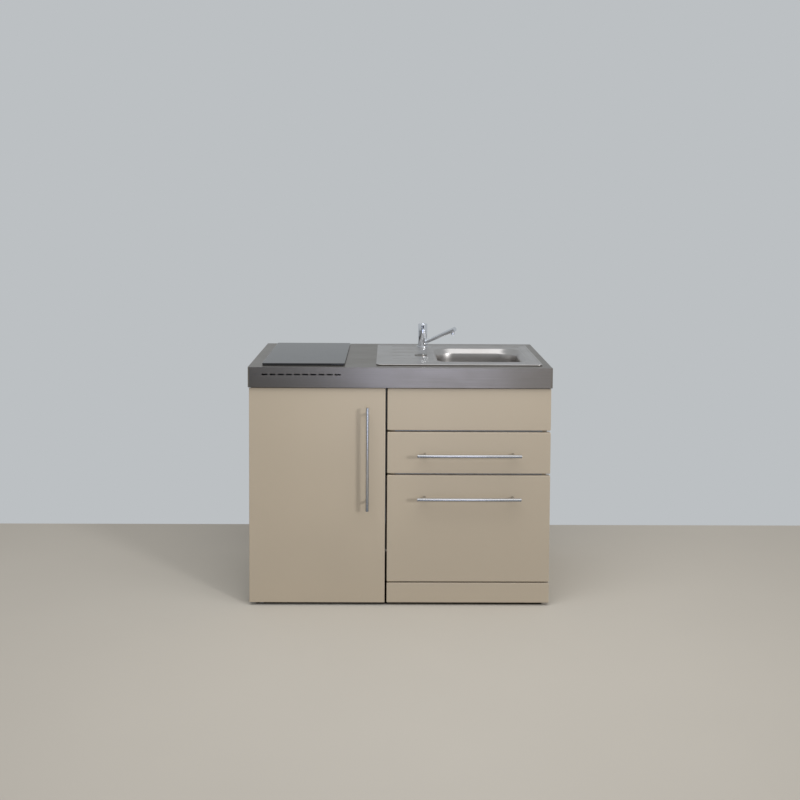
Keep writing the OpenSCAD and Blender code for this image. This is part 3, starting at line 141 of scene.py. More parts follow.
class Shader:
    """The node tree of a material or of the world, with one method that adds any node."""

    def __init__(self, owner: bpy.types.Material | bpy.types.World) -> None:
        """Empties the owner's tree."""
        owner.use_nodes = True
        self.owner = owner
        self.tree = owner.node_tree
        self.tree.nodes.clear()

    def node(
        self, kind: str, settings: dict[str, Any] | None = None,
        inputs: dict[str | int, Any] | None = None,
    ) -> bpy.types.Node:
        """Adds a node.

        Args:
            kind: The node's type.
            settings: Its properties, set first.
            inputs: Values or wires for its sockets, by name or number.

        Returns:
            The node.
        """
        made = self.tree.nodes.new(kind)
        for key, value in (settings or {}).items():
            setattr(made, key, value)
        for key, value in (inputs or {}).items():
            if isinstance(value, Wire):
                self.tree.links.new(value.socket, made.inputs[key])
            else:
                made.inputs[key].default_value = value
        return made

    def wire(self, node: bpy.types.Node, output: str | int = 0) -> Wire:
        """An output of a node."""
        return Wire(self, node.outputs[output])

    def maths(self, operation: str, first: Wire | float, second: Wire | float) -> Wire:
        """One Math node."""
        node = self.node("ShaderNodeMath", {"operation": operation}, {0: first, 1: second})
        return self.wire(node)

    def place(self, stretch: Point = (1.0, 1.0, 1.0)) -> Wire:
        """Object coordinates in metres, stretched along the axes."""
        inputs = {0: self.wire(self.node("ShaderNodeTexCoord"), "Object"), 1: stretch}
        return self.wire(self.node("ShaderNodeVectorMath", {"operation": "MULTIPLY"}, inputs))

    def along(self, *axes: int) -> list[Wire]:
        """Object coordinates in metres along single axes, by number."""
        parts = self.node("ShaderNodeSeparateXYZ", None, {0: self.place()})
        return [self.wire(parts, axis) for axis in axes]

    def noise(
        self, stretch: Point = (1.0, 1.0, 1.0), scale: float = 1.0, detail: float = 2.0,
        rough: float = 0.5,
    ) -> Wire:
        """Noise between 0 and 1, over stretched object coordinates."""
        at = self.place(stretch)
        inputs = {"Vector": at, "Scale": scale, "Detail": detail, "Roughness": rough}
        return self.wire(self.node("ShaderNodeTexNoise", None, inputs))

    def mix(self, first: Any, second: Any, share: Wire | float) -> Wire:
        """A colour between two colours."""
        node = self.node("ShaderNodeMix", {"data_type": "RGBA"}, {0: share, 6: first, 7: second})
        return self.wire(node, 2)

    def bump(self, height: Wire, depth: float, strength: float) -> Wire:
        """A normal from a height field, whose full height is depth in metres."""
        inputs = {"Strength": strength, "Distance": depth, "Height": height}
        return self.wire(self.node("ShaderNodeBump", None, inputs))

    def finish(self, **inputs: Any) -> bpy.types.Material:
        """Ends the tree with a Principled shader, whose inputs use _ for a space."""
        named = {key.replace("_", " "): value for key, value in inputs.items()}
        surface = self.node("ShaderNodeBsdfPrincipled", None, named)
        self.node("ShaderNodeOutputMaterial", None, {"Surface": self.wire(surface)})
        return self.owner


def shade(red: int, green: int, blue: int) -> Colour:
    """A linear colour from screen values: (v / 255) through the screen's curve."""
    screen = np.array([red, green, blue]) / 255.0
    linear = np.where(screen <= 0.04045, screen / 12.92, ((screen + 0.055) / 1.055) ** 2.4)
    return (*map(float, linear), 1.0)


def scaled(colour: Colour, share: float) -> Colour:
    """A colour times a share, and no channel over 1."""
    return (*(min(c * share, 1.0) for c in colour[:3]), 1.0)


# ---- Finishes ----


@dataclass(frozen=True)
class Finish:
    """What every finish has: a name for its material and its main colour."""

    name: str
    colour: Colour

    def start(self) -> Shader:
        """An empty tree under the finish's name."""
        return Shader(bpy.data.materials.new(self.name))

    def material(self) -> bpy.types.Material:
        """The finish as a material."""
        raise NotImplementedError


@dataclass(frozen=True)
class BrushedSteel(Finish):
    """Sheet steel, ground in one direction, with faint stains from handling."""

    stain: Colour
    grain: Point = (5.0, 900.0, 900.0)
    rough: float = 0.34
    depth: float = 0.00003

    def material(self) -> bpy.types.Material:
        """Streaks along the grain for roughness and bump, and cloudy patches for the colour."""
        s = self.start()
        streak = s.noise(self.grain, detail=3.0, rough=0.6)
        cloud = s.noise((2.2, 4.0, 4.0), scale=2.0, detail=3.0, rough=0.55)
        stained = cloud.fade(0.35, 0.75) * 0.35 + streak.fade(0.25, 0.75) * 0.4
        return s.finish(
            Base_Color=s.mix(self.colour, self.stain, stained),
            Metallic=1.0,
            Roughness=self.rough + (streak - 0.5) * 0.16 + (cloud - 0.5) * 0.12,
            Normal=s.bump(streak, self.depth, strength=0.35),
        )


@dataclass(frozen=True)
class SatinSteel(Finish):
    """Drawn stainless steel of the sink: a fine linen grain, smoother where water runs."""

    patch: Colour = shade(176, 172, 168)
    rough: float = 0.33
    depth: float = 0.000004

    def material(self) -> bpy.types.Material:
        """Two crossed fine grains for the bump, and broad patches for roughness and tone."""
        s = self.start()
        along = s.noise((60.0, 1400.0, 1400.0))
        across = s.noise((1400.0, 60.0, 1400.0))
        cloud = s.noise(scale=9.0, detail=3.0, rough=0.6)
        return s.finish(
            Base_Color=s.mix(self.colour, self.patch, cloud.fade(0.4, 0.7) * 0.5),
            Metallic=1.0,
            Roughness=self.rough + (cloud - 0.5) * 0.05 + along * 0.03,
            Normal=s.bump(along + across, self.depth, strength=0.15),
        )


@dataclass(frozen=True)
class Polished(Finish):
    """Plated metal with faint wipe marks, which are where the noise fades in from low to high."""

    rough: float = 0.06
    wipe: Point = (30.0, 30.0, 90.0)
    low: float = 0.45
    high: float = 0.8
    swing: float = 0.1
    metal: float = 1.0
    clear: float = 0.0
    ior: float = 1.5

    def material(self) -> bpy.types.Material:
        """Wipe marks vary the roughness only."""
        s = self.start()
        marks = s.noise(self.wipe, detail=4.0, rough=0.6).fade(self.low, self.high)
        return s.finish(
            Base_Color=self.colour,
            Metallic=self.metal,
            Roughness=self.rough + marks * self.swing,
            Transmission_Weight=self.clear,
            IOR=self.ior,
        )


@dataclass(frozen=True)
class Clear(Polished):
    """Clear glass or plastic, tinted where it is seen through."""

    rough: float = 0.03
    wipe: Point = (40.0, 12.0, 12.0)
    low: float = 0.5
    high: float = 0.85
    swing: float = 0.08
    metal: float = 0.0
    clear: float = 1.0


@dataclass(frozen=True)
class PowderCoat(Finish):
    """Stove-enamelled or powder-coated sheet with a fine orange peel."""

    rough: float = 0.42
    grain: float = 520.0
    depth: float = 0.00004
    drift: float = 0.05

    def material(self) -> bpy.types.Material:
        """Orange peel for the bump, and a slow drift of tone."""
        s = self.start()
        peel = s.noise(scale=self.grain)
        cloud = s.noise(scale=1.7)
        darker = scaled(self.colour, 1.0 - self.drift)
        return s.finish(
            Base_Color=s.mix(self.colour, darker, cloud.fade(0.3, 0.7)),
            Roughness=self.rough + (peel - 0.5) * 0.12 + (cloud - 0.5) * 0.08,
            Normal=s.bump(peel, self.depth, strength=0.25),
        )


@dataclass(frozen=True)
class Zinc(Finish):
    """Galvanised sheet with its spangle."""

    bright: Colour = shade(176, 180, 184)
    grain: float = 110.0
    rough: float = 0.38

    def material(self) -> bpy.types.Material:
        """Flat cells of differing grey, for the zinc's crystals."""
        s = self.start()
        inputs = {"Vector": s.place(), "Scale": self.grain}
        cells = s.node("ShaderNodeTexVoronoi", {"feature": "F1"}, inputs)
        tone = s.wire(s.node("ShaderNodeSeparateColor", None, {0: s.wire(cells, "Color")}))
        return s.finish(
            Base_Color=s.mix(self.colour, self.bright, tone),
            Metallic=0.9,
            Roughness=self.rough + tone * 0.16,
        )


@dataclass(frozen=True)
class Moulded(Finish):
    """Moulded plastic with a faint texture from its tool."""

    rough: float = 0.36
    grain: float = 900.0
    depth: float = 0.00003
    drift: float = 0.07

    def material(self) -> bpy.types.Material:
        """A fine spark-eroded grain for bump and roughness, and a slow drift of tone."""
        s = self.start()
        grain = s.noise(scale=self.grain, rough=0.6)
        cloud = s.noise(scale=3.0)
        darker = scaled(self.colour, 1.0 - self.drift)
        return s.finish(
            Base_Color=s.mix(self.colour, darker, cloud.fade(0.35, 0.7)),
            Roughness=self.rough + (grain - 0.5) * 0.14,
            Normal=s.bump(grain, self.depth, strength=0.3),
        )


@dataclass(frozen=True)
class HobGlass(Finish):
    """Black glass ceramic, with two printed zone rings and a row of touch fields."""

    zones: tuple[Point, ...] = ((-353.0, -120.0, 72.0), (-353.0, 120.0, 90.0))
    zone_line: float = 0.9
    fields_x: tuple[float, ...] = (-413.0, -383.0, -353.0, -323.0, -293.0)
    fields_y: float = -222.0
    field_r: float = 5.5
    field_line: float = 0.4
    ink: Colour = shade(96, 98, 100)
    ior: float = 1.5

    def material(self) -> bpy.types.Material:
        """A ring is where |distance to its centre - radius| is under its line's half width."""
        s = self.start()
        x, y = s.along(0, 1)
        marks: Wire | float = 0.0
        rings = [(*zone, self.zone_line) for zone in self.zones]
        rings += [(fx, self.fields_y, self.field_r, self.field_line) for fx in self.fields_x]
        for cx, cy, r, half in rings:
            away = ((x - cx * MM) ** 2.0 + (y - cy * MM) ** 2.0) ** 0.5
            off = s.maths("ABSOLUTE", away - r * MM, 0.0)
            marks = marks + (1.0 - off.fade(half * MM * 0.8, half * MM * 1.2))
        smear = s.noise((14.0, 30.0, 14.0), detail=4.0, rough=0.6)
        ink = marks * 0.55
        return s.finish(
            Base_Color=s.mix(self.colour, self.ink, ink),
            Roughness=0.05 + smear.fade(0.45, 0.8) * 0.1 + ink * 0.25,
            IOR=self.ior,
        )


@dataclass(frozen=True)
class Soft(Finish):
    """Rubber or foam: dull, with an open or a fine grain."""

    grain: float = 600.0
    depth: float = 0.0001
    rough: float = 0.75
    # Share of the colour left in the cells' hollows: painted shade.
    hollow_shade: float = 0.7

    def material(self) -> bpy.types.Material:
        """Cells for the bump, with painted shade in their hollows."""
        s = self.start()
        cells = s.noise(scale=self.grain, detail=3.0, rough=0.6)
        return s.finish(
            Base_Color=s.mix(scaled(self.colour, self.hollow_shade), self.colour, cells.fade(0.3, 0.6)),
            Roughness=self.rough + (cells - 0.5) * 0.1,
            Normal=s.bump(cells, self.depth, strength=0.5),
        )


FINISHES: dict[str, Finish] = {
    "worktop_steel": BrushedSteel(
        "ground worktop steel", shade(143, 137, 130), stain=shade(126, 120, 111)
    ),
    "sink_steel": SatinSteel("satin sink steel", shade(191, 188, 186)),
    "sand_paint": PowderCoat("sand coat", shade(176, 164, 146)),
    "white_paint": PowderCoat("white coat", shade(226, 228, 228), rough=0.35),
    "grey_zinc": Zinc("zinc sheet", shade(150, 154, 158)),
    "dark_metal": PowderCoat("black coat", shade(38, 38, 40), rough=0.4),
    "handle_steel": BrushedSteel(
        "ground bar steel", shade(194, 194, 194), stain=shade(186, 186, 188),
        grain=(1500.0, 1500.0, 1500.0), rough=0.24, depth=0.000005,
    ),
    "chrome": Polished("plated brass", shade(226, 228, 232)),
    "hob_glass": HobGlass("black glass ceramic", shade(20, 20, 22)),
    "shelf_glass": Clear("float glass", shade(232, 244, 240), ior=1.52),
    "clear_plastic": Clear("clear moulding", shade(238, 242, 246), rough=0.08, ior=1.49),
    "white_plastic": Moulded("white moulding", shade(232, 234, 234)),
    "pipe_plastic": Moulded("white pipe", shade(226, 227, 224), rough=0.3),
    "grey_plastic": Moulded("grey moulding", shade(140, 144, 150)),
    "black_plastic": Moulded("black moulding", shade(30, 30, 32)),
    "aluminium": BrushedSteel(
        "drawn aluminium", shade(190, 192, 194), stain=shade(178, 180, 182),
        grain=(700.0, 700.0, 6.0), rough=0.35,
    ),
    "gasket_rubber": Soft("gasket rubber", shade(206, 208, 208)),
    "foam": Soft("rigid foam", shade(226, 212, 160), grain=260.0, depth=0.0004),
}


# ---- Surfaces ----


@dataclass
class Surface:
    """Points in millimetres, and faces that list them."""

    points: Array
    faces: list[tuple[int, ...]]


@dataclass(frozen=True)
class Plane:
    """A frame in which (u, v, w) lies at origin + u * across + v * up + w * out."""

    origin: Point
    across: Point = (1.0, 0.0, 0.0)
    up: Point = (0.0, 1.0, 0.0)
    out: Point = (0.0, 0.0, 1.0)

    def place(self, points: Array) -> Array:
        """The points in the part's own frame."""
        return np.array(self.origin) + points @ np.array([self.across, self.up, self.out])


FRONT = ((1.0, 0.0, 0.0), (0.0, 0.0, 1.0), (0.0, -1.0, 0.0))  # u is X, v is Z, w comes forward
REAR = ((-1.0, 0.0, 0.0), (0.0, 0.0, 1.0), (0.0, 1.0, 0.0))  # u is -X, v is Z, w goes backward


@dataclass(frozen=True)
class Outline:
    """A rectangle with round corners, whose points keep their places as it shrinks or grows."""

    left: float
    low: float
    right: float
    high: float
    corner: float

    def inset(self, by: float) -> "Outline":
        """The outline moved inwards, with smaller corners, or outwards."""
        return Outline(
            self.left + by, self.low + by, self.right - by, self.high - by, self.corner - by
        )

    def at(self, part: Array, share: Array, inset: float = 0.0) -> Array:
        """Points of the outline.

        Even parts 0, 2, 4, 6 are the sides: start + share * (end - start). Odd parts are the
        corners after them: centre + corner * (cos a, sin a), with
        a = 90 degrees * ((part - 1) / 2 - 1 + share).

        Args:
            part: Which side or corner each point lies on.
            share: How far along it, from 0 to 1.
            inset: How far the whole outline is moved inwards.

        Returns:
            The points, one row each.
        """
        c = max(self.corner - inset, 0.0)
        x0, y0, x1, y1 = self.left + inset, self.low + inset, self.right - inset, self.high - inset
        side = part // 2 % 4
        starts = np.array([[x0 + c, y0], [x1, y0 + c], [x1 - c, y1], [x0, y1 - c]])[side]
        ends = np.array([[x1 - c, y0], [x1, y1 - c], [x0 + c, y1], [x0, y0 + c]])[side]
        centres = [[x1 - c, y0 + c], [x1 - c, y1 - c], [x0 + c, y1 - c], [x0 + c, y0 + c]]
        angle = np.radians(90.0) * (side - 1 + share)
        curved = np.array(centres)[side] + c * np.stack([np.cos(angle), np.sin(angle)], 1)
        straight = starts + share[:, None] * (ends - starts)
        return np.where((part % 2 == 1)[:, None], curved, straight)

    def around(self, xs: Array, ys: Array) -> tuple[Array, Array, Array]:
        """Walks round the square outside the outline along grid lines.

        A grid line at distance d from the side's start belongs to the corner before it while
        d < corner, with share 0.5 + 0.5 * d / corner, then to the side, then to the next corner.

        Args:
            xs: The grid lines' places along X.
            ys: Their places along Y.

        Returns:
            Each point's part and share on the outline, and its place on the square.
        """
        c = self.corner
        parts, shares, square = [], [], []
        sides = (
            (xs, self.left, self.right, 0, self.low),
            (ys, self.low, self.high, 1, self.right),
            (xs, self.right, self.left, 0, self.high),
            (ys, self.high, self.low, 1, self.left),
        )
        for k, (values, start, end, axis, fixed) in enumerate(sides):
            d = np.abs(values - start)
            length = abs(end - start)
            within = (values >= min(start, end) - TINY) & (values <= max(start, end) + TINY)
            inside = within & (d < length - TINY)
            order = np.argsort(d[inside])
            v, d = values[inside][order], d[inside][order]
            before, after = d < c - TINY, d > length - c + TINY
            parts.append(np.where(before, (2 * k - 1) % 8, np.where(after, 2 * k + 1, 2 * k)))
            on_side = (d - c) / (length - 2 * c)
            past = np.where(after, 0.5 * (d - length + c) / c, on_side)
            shares.append(np.where(before, 0.5 + 0.5 * d / c, past))
            at = np.full((len(v), 2), fixed)
            at[:, axis] = v
            square.append(at)
        return np.concatenate(parts), np.concatenate(shares), np.concatenate(square)

    def rounded(self, x: Array, y: Array) -> tuple[Array, Array]:
        """Pulls a square grid's corners onto the outline's arcs.

        In a corner's square, with (u, v) its offsets over the radius, a point goes to the distance
        max(u, v) from the corner's centre, at 45 degrees * v / u from the u axis, or mirrored.

        Args:
            x: The grid points' places along X.
            y: Their places along Y.

        Returns:
            The points' new places along X and Y.
        """
        c = self.corner
        cx = np.clip(x, self.left + c, self.right - c)
        cy = np.clip(y, self.low + c, self.high - c)
        u, v = np.abs(x - cx), np.abs(y - cy)
        far, near = np.maximum(u, v), np.minimum(u, v)
        turn = np.radians(45.0) * near / np.maximum(far, TINY)
        long, short = far * np.cos(turn), far * np.sin(turn)
        du, dv = np.where(u >= v, long, short), np.where(u >= v, short, long)
        both = (u > TINY) & (v > TINY)
        return (
            np.where(both, cx + np.sign(x - cx) * du, x),
            np.where(both, cy + np.sign(y - cy) * dv, y),
        )


def grid_lines(*spans: tuple[float, float, int]) -> Array:
    """Grid lines over spans, each (start, end, number of steps), sorted and without doubles."""
    places = np.concatenate([np.linspace(a, b, n + 1) for a, b, n in spans])
    return np.unique(np.round(places, 3))


def ring(flat: Array, height: float) -> Array:
    """Points of a plane, raised to a height."""
    return np.column_stack([flat, np.full(len(flat), height)])


def loft(rings: Array, capped: bool = False, closed: bool = False) -> Surface:
    """Joins rings of points by quads.

    Args:
        rings: Points as (ring, point, xyz); each ring closes on itself.
        capped: Whether the first and last ring get a cap.
        closed: Whether the last ring joins the first again.

    Returns:
        The surface.
    """
    count, n = rings.shape[:2]
    j, i = np.meshgrid(np.arange(count if closed else count - 1), np.arange(n), indexing="ij")
    j1, i1 = (j + 1) % count, (i + 1) % n
    quads = np.stack([j * n + i, j * n + i1, j1 * n + i1, j1 * n + i], -1).reshape(-1, 4)
    faces = [tuple(q) for q in quads.tolist()]
    if capped:
        faces.append(tuple(range(n - 1, -1, -1)))
        faces.append(tuple(range((count - 1) * n, count * n)))
    return Surface(rings.reshape(-1, 3), faces)


def sheet_grid(points: Array, keep: Array) -> Surface:
    """Quads over a grid of points (row, column, xyz), where keep says which cells stay."""
    rows, columns = points.shape[:2]
    j, i = np.meshgrid(np.arange(rows - 1), np.arange(columns - 1), indexing="ij")
    a = j * columns + i
    quads = np.stack([a, a + 1, a + columns + 1, a + columns], -1)[keep]
    return Surface(points.reshape(-1, 3), [tuple(q) for q in quads.tolist()])


def carried(outline: Outline, profile: Profile, plane: Plane, steps: tuple[int, int]) -> Array:
    """Rings along an outline, whose sides and corners have that many steps.

    Ring j is inset by profile[j][0], at profile[j][1] out of the plane.
    """
    counts = steps * 4
    part = np.concatenate([np.full(n, i) for i, n in enumerate(counts)])
    share = np.concatenate([np.arange(n) / n for n in counts])
    return plane.place(np.array([ring(outline.at(part, share, d), h) for d, h in profile]))


def slab(outline: Outline, profile: Profile, plane: Plane, corner_steps: int = 8) -> Surface:
    """A closed body whose rings follow an outline."""
    return loft(carried(outline, profile, plane, (1, corner_steps)), capped=True)


def frame_round(outline: Outline, section: Profile, plane: Plane, corner_steps: int = 6) -> Surface:
    """A closed section of (inset, height) points, carried round an outline."""
    return loft(carried(outline, section, plane, (2, corner_steps)), closed=True)


def turned(profile: Profile, plane: Plane, steps: int) -> Surface:
    """A body of revolution: ring j has radius profile[j][0] at height profile[j][1]."""
    angle = np.arange(steps) * 2.0 * np.pi / steps
    circle = np.stack([np.cos(angle), np.sin(angle)], 1)
    return loft(plane.place(np.array([ring(circle * r, h) for r, h in profile])), capped=True)


def arc(
    centre: tuple[float, float], radius: float, start: float, end: float, steps: int
) -> list[tuple[float, float]]:
    """Points centre + radius * (cos a, sin a), with a from start to end in degrees."""
    angle = np.radians(np.linspace(start, end, steps + 1))
    points = np.array(centre) + radius * np.stack([np.cos(angle), np.sin(angle)], 1)
    return [(float(x), float(y)) for x, y in points]


def rod(start: Point, end: Point, radius: float, ease: float, steps: int) -> Surface:
    """A round bar between two points, with rounded edges at both ends."""
    a, b = np.array(start, float), np.array(end, float)
    length = float(np.linalg.norm(b - a))
    out = (b - a) / length
    side = np.cross(out, [0.0, 0.0, 1.0] if abs(out[2]) < 0.9 else [1.0, 0.0, 0.0])
    side = side / np.linalg.norm(side)
    plane = Plane(start, tuple(side), tuple(np.cross(out, side)), tuple(out))
    core = radius - 2 * ease
    near_end = arc((radius - ease, ease), ease, -90.0, 0.0, 4)
    far_end = arc((radius - ease, length - ease), ease, 0.0, 90.0, 4)
    return turned([(core, 0.0), *near_end, *far_end, (core, length)], plane, steps)


# ---- Pieces ----


class Bench:
    """Writes meshes, dresses them with their node's finish and fixes them to their bodies."""

    weld = 4e-6  # metres, on surfaces made here
    cad_weld = 1e-6  # metres, on copies of the solids
    speck = 1e-7  # metres
    flat_below = 1.0  # degrees
    smooth_below = 32.0  # degrees
    bevel_above = 38.0  # degrees
    bevel_steps = 2
    fold_above = 0.6  # radians
    fold_steps = 5

    def __init__(self) -> None:
        """Makes the materials and gives every CAD node that of its slot."""
        self.materials = {slot: finish.material() for slot, finish in FINISHES.items()}
        self.slots = {row["node"]: row["material_slot"] for row in frame["record"]["subparts"]}
        # Painted shade: the overflow's cover takes the darker worktop steel, which stands in for the
        # shade in its recess.
        self.slots["overflow_fitting"] = "worktop_steel"  # its cover looks darker than the drainer
        for name, node in frame["nodes"].items():
            node.data.materials.clear()
            node.data.materials.append(self.materials[self.slots[name]])
        self.covered: set[str] = set()

    def write(
        self, name: str, node: str, surfaces: Sequence[Surface], sharp: float = smooth_below,
        turn_out: bool = True, modifier: Modifier | None = None,
    ) -> None:
        """Makes one piece of surfaces.

        Args:
            name: The piece's name.
            node: The CAD node that it replaces, on whose body it rides.
            surfaces: What it is made of, in millimetres.
            sharp: Edges over this angle in degrees stay sharp.
            turn_out: Whether the faces are turned outwards, on closed meshes.
            modifier: What is done to the mesh after that.
        """
        bm = bmesh.new()
        for surface in surfaces:
            mesh = bpy.data.meshes.new("part")
            mesh.from_pydata((surface.points * MM).tolist(), [], surface.faces)
            bm.from_mesh(mesh)
            bpy.data.meshes.remove(mesh)
        bmesh.ops.remove_doubles(bm, verts=bm.verts, dist=self.weld)
        bmesh.ops.dissolve_degenerate(bm, edges=bm.edges, dist=self.speck)
        if turn_out:
            bmesh.ops.recalc_face_normals(bm, faces=bm.faces)
        self._place(name, node, bm, sharp, modifier)

    def eased(
        self, node: str, width: float, name: str = "",
        folds: Callable[[Vector, Vector], bool] | None = None, radius: float = 0.0,
        move: Callable[[Array], Array] | None = None,
    ) -> None:
        """Replaces a CAD node by a merged copy with softened edges.

        Args:
            node: The CAD node.
            width: Width in millimetres of the bevel on every sharp edge, or 0.
            name: The new piece's name.
            folds: Tells from an edge's two ends, in millimetres, whether it is a fold.
            radius: The folds' radius in millimetres.
            move: Gives the points' new places from their places, in millimetres.
        """
        bm = bmesh.new()
        bm.from_mesh(frame["nodes"][node].data)
        bmesh.ops.remove_doubles(bm, verts=bm.verts, dist=self.cad_weld)
        flat = math.radians(self.flat_below)
        bmesh.ops.dissolve_limit(bm, angle_limit=flat, verts=bm.verts, edges=bm.edges)
        if move is not None:
            places = move(np.array([v.co[:] for v in bm.verts]) / MM) * MM
            for vert, place in zip(bm.verts, places.tolist()):
                vert.co = place
        if folds is not None:
            edges = [
                edge for edge in bm.edges
                if len(edge.link_faces) == 2 and edge.calc_face_angle(0.0) > self.fold_above
                and folds(edge.verts[0].co / MM, edge.verts[1].co / MM)
            ]
            bmesh.ops.bevel(
                bm, geom=edges, offset=radius * MM, segments=self.fold_steps, profile=0.5,
                affect="EDGES",
            )

        bevel = {
            "width": width * MM, "segments": self.bevel_steps, "limit_method": "ANGLE",
            "angle_limit": math.radians(self.bevel_above), "harden_normals": True,
        }
        modifier = ("softened edges", "BEVEL", bevel) if width > 0.0 else None
        self._place(name or f"{node}_finished", node, bm, self.smooth_below, modifier)

    def _place(
        self, name: str, node: str, bm: bmesh.types.BMesh, sharp: float, modifier: Modifier | None
    ) -> None:
        """Makes the object, smooths it and fixes it to its node's body."""
        body, slot = frame["nodes"][node]["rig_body"], self.slots[node]
        mesh = bpy.data.meshes.new(name)
        bm.to_mesh(mesh)
        bm.free()
        mesh.shade_smooth()
        mesh.set_sharp_from_angle(angle=math.radians(sharp))
        mesh.materials.append(self.materials[slot])
        piece = bpy.data.objects.new(name, mesh)
        bpy.context.scene.collection.objects.link(piece)
        if modifier is not None:
            title, kind, settings = modifier
            added = piece.modifiers.new(title, kind)
            for key, value in settings.items():
                setattr(added, key, value)
        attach(piece, body)
        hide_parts(node)
        self.covered.add(node)
        log.info("%s: %d faces", name, len(mesh.polygons))


def box_of(node: str) -> tuple[Array, Array]:
    """A CAD node's lowest and highest corner in millimetres."""
    low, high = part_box(node)
    return np.array(low) / MM, np.array(high) / MM


class Piece:
    """A piece of the unit."""

    def build(self, bench: Bench) -> None:
        """Makes the piece on the bench."""
        raise NotImplementedError


@dataclass
class Worktop(Piece):
    """The folded steel worktop."""

    fold: float = 2.5
    touch: float = 0.02

    def build(self, bench: Bench) -> None:
        """Rounds the folds along the top's outer edges and down the apron's corners."""
        low, high = box_of("worktop")
        faces = ((0, low[0]), (0, high[0]), (1, low[1]), (1, high[1]), (2, high[2]))

        def on_fold(a: Vector, b: Vector) -> bool:
            """Whether both ends lie on two of the outer faces."""
            shared = (max(abs(a[k] - v), abs(b[k] - v)) < self.touch for k, v in faces)
            return sum(shared) >= 2

        bench.eased("worktop", 0.0, "worktop_sheet", on_fold, self.fold)


@dataclass
class Hob(Piece):
    """The glass hob: a plate on its frame, with a ground edge.

    A point of the edge is (inset, depth), both in shares of its width.
    """

    corner: float = 5.0
    ground: float = 1.4
    edge: Profile = ((0.0, 1.0), (0.25, 0.45), (0.6, 0.12), (1.0, 0.0))
    seamed: float = 0.4
    flat: float = 2.0

    def build(self, bench: Bench) -> None:
        """A slab whose upper edge is ground at two angles."""
        low, high = box_of("hob_glass")
        g, e, t = self.ground, self.seamed, high[2] - low[2]
        ground = [(g * inset, t - g * depth) for inset, depth in self.edge]
        profile = [(self.flat, 0.0), (e, 0.0), (0.0, e), *ground, (g + self.flat, t)]
        outline = Outline(low[0], low[1], high[0], high[1], self.corner)
        plate = slab(outline, profile, Plane((0.0, 0.0, low[2])))
        bench.write("hob_glass_plate", "hob_glass", [plate])


